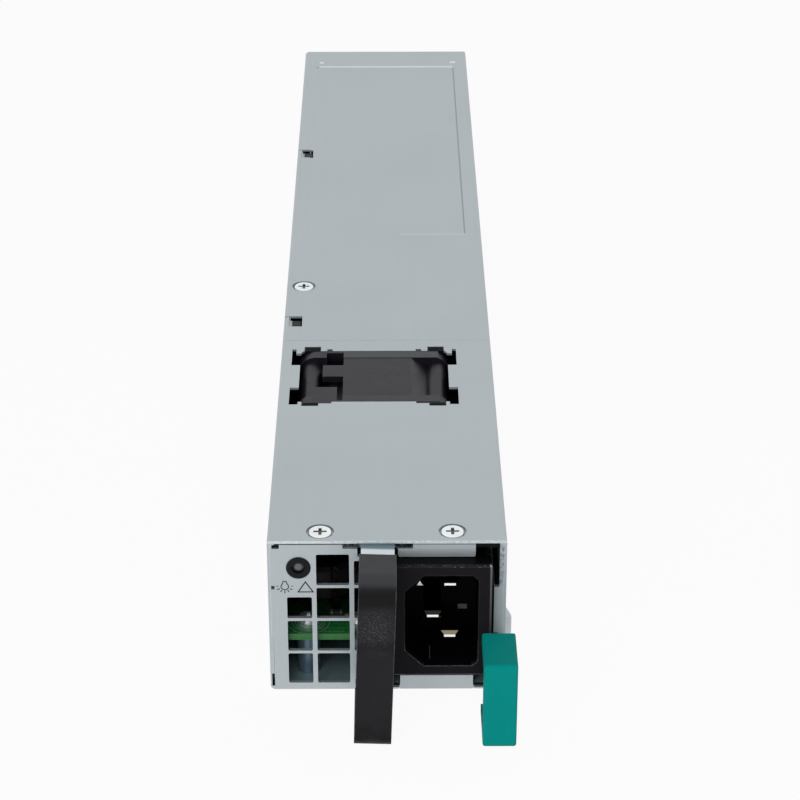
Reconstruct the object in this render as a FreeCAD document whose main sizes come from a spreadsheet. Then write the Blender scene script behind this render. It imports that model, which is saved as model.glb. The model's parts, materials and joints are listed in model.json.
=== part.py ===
import FreeCAD, Part
import Sketcher
import math
import os

# Hot swap server power supply, in millimetres.
# Frame: X across the case (positive to the right, seen from the face), Y from the face into
# the case, Z up. The origin is the middle of the front edge of the underside.

doc = FreeCAD.newDocument("PowerSupply")
sheet = doc.addObject("Spreadsheet::Sheet", "Size")

# Driving dimensions. Each name is the alias of a spreadsheet cell.
SIZES = {
    # case
    "body_width": "54.5",
    "body_height": "40.25",
    "body_length": "322",
    "tray_sheet": "1.0",
    "cover_sheet": "0.6",
    "tray_bend": "1.2",
    "cover_bend": "0.7",
    "cover_seam": "101.6",
    "joint_gap": "0.1",
    # folded-up face of the tray
    "face_top_gap": "0.3",
    "window_first": "1.8",
    "window_rows": "4",
    "window_bar": "0.7",
    "window_head": "2.55",
    "window_corner": "0.4",
    "window_inset": "4.3",
    "window_post": "1.05",
    "window_margin": "2.1",
    "window_left_share": "0.29",
    "window_mid_share": "0.383",
    "lamp_room": "2.5",
    "stub_room": "1.7",
    "lip_left_reach": "9.43",
    "lip_right_reach": "7.52",
    "flange_low": "15.6",
    "flange_rise": "12.4",
    "flange_wide": "2.15",
    "relief_wide": "0.65",
    "relief_rise": "3.4",
    "relief_deep": "3.4",
    "corner_notch_wide": "1.7",
    "corner_notch_rise": "1.05",
    "side_notch_drop": "11.85",
    "side_notch_rise": "0.95",
    # fixing tabs and hooks of the tray
    "screw_tab_deep": "7.5",
    "screw_tab_wide": "14.2",
    "rear_tab_wide": "7.2",
    "hook_wide": "2.8",
    "hook_deep": "3.4",
    "hook_front_inset": "11.4",
    "hook_rear_inset": "91.4",
    "slot_wide": "3.6",
    "slot_deep": "6.2",
    "slit_wide": "0.4",
    # rear panel
    "vent_flat": "4.4",
    "vent_pitch": "5.6",
    "vent_rows": "4",
    "vent_columns": "8",
    "vent_first_z": "13.0",
    "card_slot_gap": "0.5",
    # cover screws
    "screw_front_y": "4.5",
    "screw_left_inset": "12.0",
    "screw_right_inset": "12.3",
    "screw_rear_inset": "4.65",
    "screw_rear_behind": "33.3",
    "screw_head": "5.4",
    "screw_shank": "3.0",
    "screw_long": "3.2",
    "dimple_wide": "6.4",
    "dimple_deep": "0.65",
    "cover_lip_left_reach": "9.93",
    "cover_lip_right_reach": "7.67",
    "label_left_inset": "3.85",
    "label_right_inset": "4.45",
    "label_rear_inset": "14.8",
    "label_long": "137.7",
    # cover lip over the inlet, label recess
    "label_deep": "0.15",
    "rear_chamfer": "1.0",
    # strap handle
    "strap_bottom": "1.85",
    "strap_drop": "2.05",
    "strap_to_inlet": "15.18",
    "strap_out_top": "17.6",
    "strap_out_bottom": "23.5",
    "strap_lean": "2.0",
    "band_sheet": "0.8",
    "band_wide": "7.6",
    "band_tee_wide": "16.0",
    "band_hook_rise": "3.0",
    "sleeve_wide": "8.4",
    "sleeve_thick": "2.2",
    "sleeve_start": "4.0",
    "strap_top_bend": "7.0",
    "strap_bottom_bend": "1.3",
    "strap_notch_wide": "9.3",
    "strap_slot_rise": "1.05",
    # mains inlet, a 10 A appliance inlet stood on end
    "inlet_flange_wide": "22.8",
    "inlet_flange_rise": "29.8",
    "inlet_proud": "3.7",
    "inlet_inset": "14.82",
    "inlet_lift": "0.975",
    "inlet_head_gap": "0.15",
    "inlet_foot_gap": "2.45",
    "inlet_flange_corner": "0.8",
    "inlet_body_wide": "20.0",
    "inlet_body_rise": "27.6",
    "inlet_body_deep": "20.0",
    "inlet_ledge_deep": "1.6",
    "cavity_wide": "16.8",
    "cavity_rise": "24.4",
    "cavity_deep": "16.4",
    "cavity_chamfer": "4.3",
    "cavity_corner": "1.3",
    "blade_wide": "4.0",
    "blade_thick": "2.0",
    "blade_pitch": "14.0",
    "blade_offset": "2.0",
    "blade_recess": "4.7",
    "earth_lead": "2.4",
    "blade_tip": "1.0",
    "terminal_long": "7.0",
    "terminal_thick": "0.8",
    # status lamp
    "lamp_bezel": "5.6",
    "lamp_barrel": "4.4",
    "lamp_lens": "2.7",
    "lamp_proud": "0.45",
    "lamp_deep": "6.0",
    "lamp_inset": "7.05",
    "lamp_drop": "6.95",
    # release latch
    "spring_sheet": "0.45",
    "spring_low": "2.0",
    "spring_rise": "12.7",
    "spring_gap": "0.15",
    "spring_tail": "4.0",
    "spring_inset": "3.0",
    "hinge_y": "66.0",
    "window_end": "62.0",
    "recess_end": "71.0",
    "tooth_front": "8.0",
    "tooth_rear": "15.0",
    "tooth_proud": "1.8",
    "rivet_shank": "2.0",
    "rivet_head": "3.6",
    "rivet_cap": "0.4",
    "rivet_pitch": "6.6",
    "grip_top": "22.8",
    "grip_bottom": "0.85",
    "grip_inside": "5.9",
    "grip_outside": "1.7",
    "grip_front": "24.6",
    "grip_rear": "11.3",
    "grip_wall": "2.8",
    "grip_lip": "2.7",
    "grip_round": "1.0",
    "grip_web": "3.9",
    # fan
    "fan_front": "67.4",
    "fan_depth": "28",
    "fan_gap": "0.1",
    "fan_side_room": "2.45",
    "fan_wall": "1.3",
    "fan_tube_wall": "3.5",
    "fan_hole_inset": "4.0",
    "fan_side_cover": "0.95",
    "fan_corner": "5.0",
    "fan_flange": "3.5",
    "fan_hole": "3.4",
    "fan_column": "5.6",
    "fan_base": "21.0",
    "fan_base_thick": "1.6",
    "fan_vanes": "8",
    "fan_vane_thick": "1.1",
    "fan_vane_deep": "5.0",
    "bearing_tube_wall": "0.9",
    "fan_tab_wide": "4.1",
    "fan_tab_rear": "2.4",
    "fan_tab_front": "2.2",
    "fan_tab_thick": "1.6",
    "fan_nub_out": "11.5",
    "fan_nub_wide": "1.2",
    "fan_nub_long": "1.0",
    "fan_step_out": "12.35",
    "fan_step_wide": "3.3",
    "fan_step_long": "0.9",
    "channel_left": "14.1",
    "channel_rear_left": "12.3",
    "channel_right": "7.85",
    "channel_floor": "0.9",
    "channel_rim": "0.9",
    "channel_gap": "1.5",
    "front_tab_end": "8.05",
    "rear_tab_start": "13.9",
    "rear_tab_long": "6.25",
    "rear_tab_reach": "5.3",
    "notch_wide": "2.25",
    "notch_deep": "9.1",
    "notch_front_reach": "1.4",
    "notch_rear_reach": "1.0",
    "notch_slot": "1.1",
    "opening_corner": "1.5",
    "hub": "21.5",
    "hub_wall": "1.7",
    "hub_start": "2.0",
    "hub_long": "19.0",
    "fan_blades": "7",
    "fan_blade_gap": "0.5",
    "fan_blade_thick": "0.9",
    "fan_blade_chord": "15.0",
    "fan_blade_root_angle": "48",
    "fan_blade_tip_angle": "30",
    "magnet_thick": "0.9",
    "shaft": "3.0",
    "bearing_outer": "8.0",
    "bearing_wide": "3.0",
    "running_gap": "0.03",
    "air_gap": "0.4",
    "stator_long": "9.0",
    "stator_poles": "4",
    "stator_yoke": "1.0",
    "pole_neck": "2.4",
    "pole_shoe": "6.0",
    # filter board behind the grille
    "board_sheet": "1.6",
    "filter_board_low": "12.05",
    "filter_front": "2.6",
    "filter_length": "60.0",
    "filter_inset": "2.25",
    "filter_hole_inset": "5.1",
    "standoff": "5.6",
    "board_screw_shank": "2.9",
    "board_screw_head": "5.4",
    "board_screw_cap": "1.6",
    # main board
    "main_board_low": "5.0",
    "board_behind_fan": "4.1",
    "board_side_gap": "0.6",
    "board_rear_gap": "0.8",
    "card_edge_wide": "32.0",
    "card_edge_x": "-3.0",
    "card_edge_long": "8.5",
    "contact_count": "16",
    "contact_wide": "1.1",
    "contact_thick": "0.08",
    "part_gap": "2.0",
    "insulator_sheet": "0.25",
    "filter_hole_side": "6.6",
    # parts on the filter board
    "line_choke_tall": "9.0",
    "line_choke_turns": "10",
    "x_cap_wide": "9.0",
    "x_cap_long": "18.0",
    "x_cap_tall": "16.0",
    "fuse_across": "5.2",
    "fuse_long": "20.0",
    "fuse_cap_long": "5.0",
    "y_cap_across": "8.0",
    "y_cap_thick": "3.5",
    # parts on the main board, from the fan to the rear
    "plug_wide": "8.0",
    "plug_deep": "5.6",
    "plug_tall": "7.5",
    "relay_deep": "16.0",
    "relay_tall": "15.0",
    "bridge_wide": "18.6",
    "bridge_deep": "3.6",
    "bridge_tall": "17.0",
    "pfc_bore": "15.0",
    "pfc_beside": "26.5",
    "pfc_above": "12.25",
    "pfc_side_room": "4.65",
    "pfc_thick": "11.0",
    "turn_count": "14",
    "turn_wire": "1.4",
    "film_cap_wide": "8.0",
    "film_cap_tall": "14.0",
    "bulk_gap": "1.0",
    "bulk_side_room": "1.75",
    "bulk_share": "0.367",
    "sink_share": "0.338",
    "sink_tall": "28.0",
    "sink_deep": "7.0",
    "sink_fins": "7",
    "sink_plate": "2.45",
    "sink_fin": "1.6",
    "transistor_wide": "15.6",
    "transistor_tall": "20.0",
    "transistor_thick": "4.8",
    "transistor_hole_drop": "3.6",
    "core_wide": "27.0",
    "core_rise": "26.0",
    "core_deep": "14.0",
    "core_leg": "5.0",
    "core_centre_leg": "9.0",
    "winding_deep": "24.0",
    "core_x": "5.0",
    "standby_wide": "16.0",
    "standby_deep": "13.0",
    "standby_tall": "15.0",
    "control_long": "30.0",
    "control_tall": "24.0",
    "control_side_room": "4.75",
    "out_cap_across": "8.0",
    "out_cap_tall": "15.0",
    "out_cap_columns": "5",
    "out_cap_rows": "2",
    "out_cap_pitch": "9.2",
    "bar_thick": "1.5",
    "bar_tall": "14.0",
    "mos_wide": "8.6",
    "mos_tall": "1.6",
    # wires
    "wire_across": "2.6",
    "wire_bend": "5.0",
    "fan_wire_across": "1.8",
}

for row, (alias, number) in enumerate(SIZES.items(), start=1):
    sheet.set(f"A{row}", alias)
    sheet.set(f"B{row}", number)
    sheet.setAlias(f"B{row}", alias)
doc.recompute()


class Length:
    """An expression over the spreadsheet's cells, so that a feature stays bound to them."""

    def __init__(self, text):
        self.text = str(text)

    def __float__(self):
        return float(sheet.evalExpression(self.text))

    def __add__(self, other):
        return Length(f"({self.text} + {text_of(other)})")

    def __radd__(self, other):
        return Length(f"({text_of(other)} + {self.text})")

    def __sub__(self, other):
        return Length(f"({self.text} - {text_of(other)})")

    def __rsub__(self, other):
        return Length(f"({text_of(other)} - {self.text})")

    def __mul__(self, other):
        return Length(f"({self.text} * {text_of(other)})")

    __rmul__ = __mul__

    def __truediv__(self, other):
        return Length(f"({self.text} / {text_of(other)})")

    def __neg__(self):
        return Length(f"(-1 * {self.text})")


def text_of(value):
    return value.text if isinstance(value, Length) else f"({value})"


class Cells:
    """size.body_width is the cell with that alias."""

    def __getattr__(self, alias):
        if alias not in SIZES:
            raise AttributeError(alias)
        return Length(f"Size.{alias}")


size = Cells()
nodes = []


# ---------------------------------------------------------------- how features are made

def bind(thing, path, value):
    """Set a property and, where the value comes from the sheet, bind it."""
    if isinstance(value, Length):
        thing.setExpression(path, value.text)


def node(thing, label):
    thing.Label = label
    nodes.append(thing)
    return thing


def new_body(name):
    return doc.addObject("PartDesign::Body", name)


def new_sketch(body, plane, height, centre=(0, 0)):
    """A sketch on one of the body's own origin planes, moved along its normal."""
    sketch = body.newObject("Sketcher::SketchObject", f"{body.Name}_outline")
    role = f"{plane}_Plane"
    origin_plane = next(f for f in body.Origin.OriginFeatures if f.Role == role)
    sketch.AttachmentSupport = (origin_plane, [""])
    sketch.MapMode = "FlatFace"
    normal_is_backward = plane == "XZ"
    offset = -height if normal_is_backward else height
    sketch.AttachmentOffset.Base = FreeCAD.Vector(*map(float, centre), float(offset))
    bind(sketch, ".AttachmentOffset.Base.x", centre[0])
    bind(sketch, ".AttachmentOffset.Base.y", centre[1])
    bind(sketch, ".AttachmentOffset.Base.z", offset)
    return sketch


def pin_point(sketch, geometry, position, x, y):
    """Dimension a point from the sketch's origin."""
    for kind, value in (("DistanceX", x), ("DistanceY", y)):
        index = sketch.addConstraint(
            Sketcher.Constraint(kind, -1, 1, geometry, position, float(value)))
        bind(sketch, f"Constraints[{index}]", value)


def draw_polygon(sketch, corners):
    """A closed outline; a corner is (x, y), or (x, y, radius) where it is rounded."""
    flat = [FreeCAD.Vector(float(c[0]), float(c[1]), 0) for c in corners]
    count = len(corners)
    starts, ends, arcs = list(flat), list(flat), {}
    for i, corner in enumerate(corners):
        if len(corner) < 3:
            continue
        radius = float(corner[2])
        back = (flat[i - 1] - flat[i]).normalize()
        ahead = (flat[(i + 1) % count] - flat[i]).normalize()
        half_angle = back.getAngle(ahead) / 2
        reach = radius / math.tan(half_angle)
        middle = flat[i] + (back + ahead).normalize() * (radius / math.sin(half_angle))
        ends[i] = flat[i] + back * reach
        starts[i] = flat[i] + ahead * reach
        bulge = middle + (flat[i] - middle).normalize() * radius
        turns_left = (ahead.cross(back)).z > 0
        arcs[i] = (ends[i], bulge, starts[i], turns_left)
    first = sketch.GeometryCount
    for i in range(count):
        sketch.addGeometry(Part.LineSegment(starts[i], ends[(i + 1) % count]))
    for i, corner in enumerate(corners):
        incoming, outgoing = first + (i - 1) % count, first + i
        if i not in arcs:
            sketch.addConstraint(Sketcher.Constraint("Coincident", incoming, 2, outgoing, 1))
            pin_point(sketch, outgoing, 1, corner[0], corner[1])
            continue
        start, bulge, end, turns_left = arcs[i]
        arc = sketch.addGeometry(Part.Arc(start, bulge, end))
        near, far = (1, 2) if turns_left else (2, 1)
        point = sketch.addGeometry(Part.Point(flat[i]), True)
        pin_point(sketch, point, 1, corner[0], corner[1])
        sketch.addConstraint(Sketcher.Constraint("PointOnObject", point, 1, incoming))
        sketch.addConstraint(Sketcher.Constraint("PointOnObject", point, 1, outgoing))
        sketch.addConstraint(Sketcher.Constraint("Tangent", incoming, 2, arc, near))
        sketch.addConstraint(Sketcher.Constraint("Tangent", outgoing, 1, arc, far))
        index = sketch.addConstraint(Sketcher.Constraint("Radius", arc, float(corner[2])))
        bind(sketch, f"Constraints[{index}]", corner[2])


def draw_circle(sketch, x, y, diameter):
    centre = FreeCAD.Vector(float(x), float(y), 0)
    circle = sketch.addGeometry(Part.Circle(centre, FreeCAD.Vector(0, 0, 1), float(diameter) / 2))
    pin_point(sketch, circle, 3, x, y)
    index = sketch.addConstraint(Sketcher.Constraint("Diameter", circle, float(diameter)))
    bind(sketch, f"Constraints[{index}]", diameter)


def rectangle(left, right, low, high, radius=None):
    corners = [(left, low), (right, low), (right, high), (left, high)]
    return [(*corner, radius) for corner in corners] if radius is not None else corners


def disc(x, y, diameter):
    return ("disc", x, y, diameter)


def draw(sketch, outlines):
    for outline in outlines:
        if outline[0] == "disc":
            draw_circle(sketch, *outline[1:])
        else:
            draw_polygon(sketch, outline)


def feature(body, kind, plane, start, end, outlines, centre=(0, 0)):
    sketch = new_sketch(body, plane, start, centre)
    draw(sketch, outlines)
    made = body.newObject(f"PartDesign::{kind}", f"{body.Name}_{kind.lower()}")
    made.Profile = sketch
    made.Length = float(end - start)
    bind(made, "Length", end - start)
    # The XZ plane's normal is -Y, and a pocket by itself cuts against the normal.
    made.Reversed = (plane == "XZ") == (kind == "Pad")
    return made


def add(body, plane, start, end, *outlines, centre=(0, 0)):
    """Sheet or block from start to end along the plane's axis."""
    return feature(body, "Pad", plane, start, end, outlines, centre)


def cut(body, plane, start, end, *outlines, centre=(0, 0)):
    """Opening from start to end along the plane's axis."""
    return feature(body, "Pocket", plane, start, end, outlines, centre)


def revolve(body, corners):
    """A turned piece about the body's own Z axis; corners are (radius, height)."""
    sketch = new_sketch(body, "XZ", Length("0"))
    draw(sketch, [corners])
    made = body.newObject("PartDesign::Revolution", f"{body.Name}_turned")
    made.Profile = sketch
    made.ReferenceAxis = (sketch, ["V_Axis"])
    made.Angle = 360
    return made


def z_axis(body):
    return (next(f for f in body.Origin.OriginFeatures if f.Role == "Z_Axis"), [""])


def ring_pattern(body, original, count, axis=None):
    """Repeat a feature in a ring, about the normal of its own sketch unless an axis is given."""
    made = body.newObject("PartDesign::PolarPattern", f"{body.Name}_ring")
    made.Originals = [original]
    made.Axis = axis or (original.Profile[0], ["N_Axis"])
    made.Angle = 360
    made.Occurrences = round(float(count))
    bind(made, "Occurrences", count)
    body.Tip = made
    return made


def soften(body, kind, amount, chosen):
    """Fillet or chamfer the edges of the body that the test picks."""
    doc.recompute()
    base = body.Tip
    names = [f"Edge{i}" for i, edge in enumerate(base.Shape.Edges, start=1) if chosen(edge)]
    made = body.newObject(f"PartDesign::{kind}", f"{body.Name}_{kind.lower()}")
    made.Base = (base, names)
    setattr(made, "Radius" if kind == "Fillet" else "Size", float(amount))
    bind(made, "Radius" if kind == "Fillet" else "Size", amount)
    return made


def place(thing, x, y, z, turn_axis=(0, 0, 1), turn=0):
    """Stand a piece at its place in the case."""
    spot = FreeCAD.Vector(float(x), float(y), float(z))
    thing.Placement = FreeCAD.Placement(spot, FreeCAD.Rotation(FreeCAD.Vector(*turn_axis), turn))
    for letter, value in zip("xyz", (x, y, z)):
        bind(thing, f".Placement.Base.{letter}", value)
    return thing


ALONG_Y = ((1, 0, 0), -90)      # turns a piece's own Z axis to the case's +Y
ALONG_X = ((0, 1, 0), 90)       # turns a piece's own Z axis to the case's +X


def group(label, pattern_piece, spots, turn_axis=(0, 0, 1), turn=0):
    """One node of equal pieces: links to a pattern piece, one for each spot."""
    links = []
    for x, y, z in spots:
        link = doc.addObject("App::Link", f"{label}_copy")
        link.LinkedObject = pattern_piece
        spot = FreeCAD.Vector(float(x), float(y), float(z))
        rotation = FreeCAD.Rotation(FreeCAD.Vector(*turn_axis), turn)
        link.LinkPlacement = FreeCAD.Placement(spot, rotation)
        for letter, value in zip("xyz", (x, y, z)):
            bind(link, f".LinkPlacement.Base.{letter}", value)
        links.append(link)
    compound = doc.addObject("Part::Compound", label)
    compound.Links = links
    return node(compound, label)


def near(value, target, slack=0.02):
    return abs(value - float(target)) < slack


# ---------------------------------------------------------------- places shared by the pieces

half = size.body_width / 2
wall_out = half - size.cover_sheet
wall_in = wall_out - size.tray_sheet
low_wall_in = half - size.tray_sheet
floor = size.tray_sheet
spring_top = size.spring_low + size.spring_rise
spring_in = half - size.spring_sheet
cover_under = size.body_height - size.cover_sheet
cover_foot = spring_top + size.spring_gap * 2
shoulder = cover_foot - size.joint_gap
screw_seat = size.body_height - size.dimple_deep
tab_top = cover_under - size.dimple_deep
tab_low = tab_top - size.tray_sheet

# The inlet stands at the right of the face, between the lips of the tray and the cover.
inlet_x = half - size.inlet_inset
inlet_z = size.body_height / 2 + size.inlet_lift
lip_left = inlet_x - size.lip_left_reach
lip_right = inlet_x + size.lip_right_reach
lip_rise = inlet_z - size.inlet_flange_rise / 2 - size.inlet_foot_gap
cover_lip_low = inlet_z + size.inlet_flange_rise / 2 + size.inlet_head_gap

# The grille fills the panel from the left wall to the inlet.
panel_left = -low_wall_in + size.joint_gap / 2
panel_right = inlet_x - size.inlet_flange_wide / 2 - size.joint_gap / 2
panel_top = cover_under - size.face_top_gap
window_stack = panel_top - size.window_first - size.window_head
window_pitch = (window_stack + size.window_bar) / size.window_rows
window_rise = window_pitch - size.window_bar
grille_left = -half + size.window_inset
grille_wide = panel_right - size.window_margin - grille_left - size.window_post * 2
lamp_x = -half + size.lamp_inset
lamp_z = size.body_height - size.lamp_drop

strap_x = inlet_x - size.strap_to_inlet
strap_top = size.body_height - size.strap_drop
strap_mid = (strap_top + size.strap_bottom) / 2
strap_sway = Length(f"({(strap_top - strap_mid).text} * tan({size.strap_lean.text} * 1 deg))")
strap_top_x = strap_x + strap_sway
strap_bottom_x = strap_x - strap_sway
tee_left = strap_top_x - size.band_tee_wide / 2
tee_right = strap_top_x + size.band_tee_wide / 2
strap_slot_low = panel_top - size.strap_slot_rise

# The fan is as tall as the case.
fan_size = size.body_height - size.fan_gap * 2.5
fan_half = fan_size / 2
fan_x = -wall_in + size.fan_side_room + fan_half
fan_z = size.body_height / 2
fan_bore = fan_size - size.fan_wall * 2
fan_tube = fan_bore + size.fan_tube_wall * 2
fan_rear = size.fan_front + size.fan_depth
fan_column_out = fan_half - size.fan_hole_inset

filter_left = -half + size.filter_inset
filter_right = inlet_x - size.inlet_body_wide / 2 - size.part_gap
filter_board_top = size.filter_board_low + size.board_sheet
main_front = fan_rear + size.board_behind_fan
main_board_top = size.main_board_low + size.board_sheet
main_board_rear = size.body_length - size.tray_sheet - size.board_rear_gap

screw_left_x = -half + size.screw_left_inset
screw_right_x = half - size.screw_right_inset
screw_rear_x = -half + size.screw_rear_inset
screw_rear_y = size.cover_seam + size.screw_rear_behind
cover_screws_at = [
    (screw_left_x, size.screw_front_y),
    (screw_right_x, size.screw_front_y),
    (screw_rear_x, screw_rear_y),
]
hook_spots = [size.cover_seam + size.hook_front_inset, size.body_length - size.hook_rear_inset]


# ---------------------------------------------------------------- case

def tray_section():
    """The floor and the two walls; each wall steps in above the foot of the covers."""
    step_low = shoulder - size.cover_sheet
    right = [
        (half, 0, size.tray_bend), (half, step_low), (wall_out, shoulder), (wall_out, cover_under),
        (wall_in, cover_under), (wall_in, shoulder), (low_wall_in, step_low), (low_wall_in, floor),
    ]
    left = [(-corner[0], *corner[1:]) for corner in reversed(right)]
    return right + left


def tray_windows(tray):
    """Three columns of grille windows; the last column lies behind the strap."""
    low = [size.window_first + window_pitch * row for row in range(round(float(size.window_rows)))]
    full = window_rise
    left_wide, mid_wide = grille_wide * size.window_left_share, grille_wide * size.window_mid_share
    mid = grille_left + left_wide + size.window_post
    right = mid + mid_wide + size.window_post
    columns = [
        (grille_left, left_wide, [(0, full), (1, full), (2, full - size.lamp_room)]),
        (mid, mid_wide, [(0, full), (1, full), (2, full), (3, full)]),
        (right, grille_wide - left_wide - mid_wide,
         [(1, full), (2, full), (3, full - size.stub_room)]),
    ]
    for left, wide, rows in columns:
        outlines = [
            rectangle(left, left + wide, low[row], low[row] + rise, size.window_corner)
            for row, rise in rows
        ]
        cut(tray, "XZ", 0, size.tray_sheet, *outlines)


def tray_face(tray):
    """The face folded up from the floor, the lip under the inlet and the right-hand flange."""
    notch_left = strap_top_x - size.strap_notch_wide / 2
    add(tray, "XZ", 0, size.tray_sheet, [
        (panel_left, 0), (panel_right, 0), (panel_right, cover_lip_low),
        (notch_left, cover_lip_low, size.window_corner), (notch_left, strap_slot_low),
        (tee_left, strap_slot_low), (tee_left, panel_top), (panel_left, panel_top)])
    add(tray, "XZ", 0, size.tray_sheet, rectangle(lip_left, lip_right, 0, lip_rise))
    add(tray, "XZ", 0, size.tray_sheet, rectangle(
        wall_out - size.flange_wide, wall_out, size.flange_low, size.flange_low + size.flange_rise))
    tray_windows(tray)
    slot_half = size.band_wide / 2 + size.joint_gap * 3
    cut(tray, "XZ", 0, size.tray_sheet,
        disc(lamp_x, lamp_z, size.lamp_barrel + size.joint_gap),
        rectangle(strap_bottom_x - slot_half, strap_bottom_x + slot_half,
                  size.strap_bottom - size.band_sheet, size.strap_bottom + size.band_sheet))
    cut(tray, "XZ", 0, size.tray_sheet * 1.5,
        rectangle(lip_left - size.slit_wide, lip_left, 0, floor),
        rectangle(lip_right, lip_right + size.slit_wide, 0, floor))
    cut(tray, "XZ", 0, size.tray_sheet * 1.5, rectangle(
        panel_left - size.relief_wide, panel_left, floor, floor + size.relief_rise))
    side_notch = panel_top - size.side_notch_drop
    cut(tray, "XZ", 0, size.relief_deep, rectangle(
        panel_left - size.joint_gap * 3, panel_left + size.joint_gap * 5,
        side_notch, side_notch + size.side_notch_rise))
    cut(tray, "XZ", 0, size.tray_sheet, rectangle(
        panel_left, panel_left + size.corner_notch_wide, panel_top - size.corner_notch_rise, panel_top))


def tray_spring_recess(tray):
    """A window in the right wall for the release spring to bend into, and its seat behind."""
    low = size.spring_low - size.spring_gap * 2
    cut(tray, "YZ", wall_in, half, rectangle(0, size.window_end, low, shoulder))
    cut(tray, "YZ", wall_out, half, rectangle(size.window_end, size.recess_end, low, shoulder))
    add(tray, "YZ", wall_in, wall_out,
        rectangle(size.window_end, size.recess_end + size.tray_sheet, floor / 2, shoulder))
    hole = size.rivet_shank + size.joint_gap / 2
    cut(tray, "YZ", wall_in, wall_out, *[disc(size.hinge_y, z, hole) for z in rivet_heights()])


def rivet_heights():
    middle = size.spring_low + size.spring_rise / 2
    return [middle - size.rivet_pitch / 2, middle + size.rivet_pitch / 2]


def tray_tabs(tray):
    """Tabs under the cover screws and hooks in the slots of the rear cover."""
    front_tab = (size.tray_sheet, size.tray_sheet + size.screw_tab_deep)
    rear_tab = (screw_rear_y - size.screw_tab_deep / 2,
                screw_rear_y + size.screw_tab_deep / 2)
    # The walls are folded over at the tabs, so they end lower there.
    cut(tray, "XY", tab_top, cover_under, rectangle(-wall_out, -wall_in, *front_tab),
        rectangle(wall_in, wall_out, *front_tab), rectangle(-wall_out, -wall_in, *rear_tab))
    add(tray, "XY", tab_low, tab_top,
        rectangle(-wall_out, -wall_in + size.screw_tab_wide, *front_tab),
        rectangle(wall_in - size.screw_tab_wide, wall_out, *front_tab),
        rectangle(-wall_out, -wall_in + size.rear_tab_wide, *rear_tab))
    cut(tray, "XY", tab_low, tab_top,
        *[disc(x, y, size.screw_shank + size.joint_gap) for x, y in cover_screws_at])
    hook_top = cover_under - size.joint_gap
    add(tray, "XY", hook_top - size.tray_sheet, hook_top, *[
        rectangle(-wall_out, -wall_in + size.hook_wide, y - size.hook_deep / 2, y + size.hook_deep / 2)
        for y in hook_spots])


def hexagon(x, z, across_flats):
    radius = across_flats / math.sqrt(3)
    return [(x + radius * math.cos(math.radians(angle)), z + radius * math.sin(math.radians(angle)))
            for angle in range(30, 390, 60)]


def tray_rear(tray):
    """The rear panel: a field of staggered hexagonal vents over the card edge's slot."""
    start = size.body_length - size.tray_sheet
    add(tray, "XZ", start, size.body_length, rectangle(-wall_in - size.tray_sheet / 2,
        wall_in + size.tray_sheet / 2, floor / 2, panel_top))
    gap = size.card_slot_gap
    left = size.card_edge_x - size.card_edge_wide / 2
    cut(tray, "XZ", start, size.body_length, rectangle(
        left - gap, left + size.card_edge_wide + gap,
        size.main_board_low - gap, main_board_top + gap))
    row_pitch = size.vent_pitch * math.sin(math.radians(60))
    span = size.vent_pitch * (size.vent_columns - 1)
    for row in range(round(float(size.vent_rows))):
        stagger = size.vent_pitch * (row % 2 / 2 - 0.25)
        hole = cut(tray, "XZ", start, size.body_length, hexagon(
            stagger - span / 2, size.vent_first_z + row_pitch * row, size.vent_flat))
        line = tray.newObject("PartDesign::LinearPattern", "vent_row")
        line.Originals = [hole]
        line.Direction = (hole.Profile[0], ["H_Axis"])
        line.Length = float(span)
        bind(line, "Length", span)
        line.Occurrences = round(float(size.vent_columns))
        bind(line, "Occurrences", size.vent_columns)
        tray.Tip = line


def chassis_tray():
    tray = new_body("chassis_tray")
    add(tray, "XZ", 0, size.body_length, tray_section())
    tray_spring_recess(tray)
    tray_face(tray)
    tray_tabs(tray)
    tray_rear(tray)
    gap = size.fan_gap
    cut(tray, "XY", 0, floor, rectangle(
        fan_x - fan_half - gap, fan_x + fan_half + gap,
        size.fan_front - gap, fan_rear + gap))
    node(tray, "chassis_tray")


def cover_shell(name, start, end):
    """A lid with a side down each wall, ending at the step of the tray's walls."""
    cover = new_body(name)
    right = [(wall_out, cover_foot), (half, cover_foot), (half, size.body_height, size.cover_bend)]
    left = [(-corner[0], *corner[1:]) for corner in reversed(right)]
    under = [(-wall_out, cover_under), (wall_out, cover_under)]
    add(cover, "XZ", start, end, right + left + under)
    return cover


def screw_dimples(cover, spots):
    """Round sunk seats pressed into the sheet, so that the screw heads lie flush."""
    outer = size.dimple_wide + size.cover_sheet
    add(cover, "XY", tab_top, cover_under + size.cover_sheet / 2, *[disc(x, y, outer) for x, y in spots])
    cut(cover, "XY", screw_seat, size.body_height, *[disc(x, y, size.dimple_wide) for x, y in spots])
    hole = size.screw_shank + size.joint_gap * 4
    cut(cover, "XY", tab_top, screw_seat, *[disc(x, y, hole) for x, y in spots])


def fan_ears():
    """Tabs, nubs and steps on the fan's flanges: middle, width, start and length."""
    front, rear = size.fan_front, fan_rear
    ears = []
    for side in (-1, 1):
        ears += [
            (fan_column_out * side, size.fan_tab_wide, front - size.fan_tab_front, size.fan_tab_front),
            (fan_column_out * side, size.fan_tab_wide, rear, size.fan_tab_rear),
            (size.fan_nub_out * side, size.fan_nub_wide, rear, size.fan_nub_long),
            (size.fan_step_out * side, size.fan_step_wide, front - size.fan_step_long,
             size.fan_step_long)]
    return ears


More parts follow.
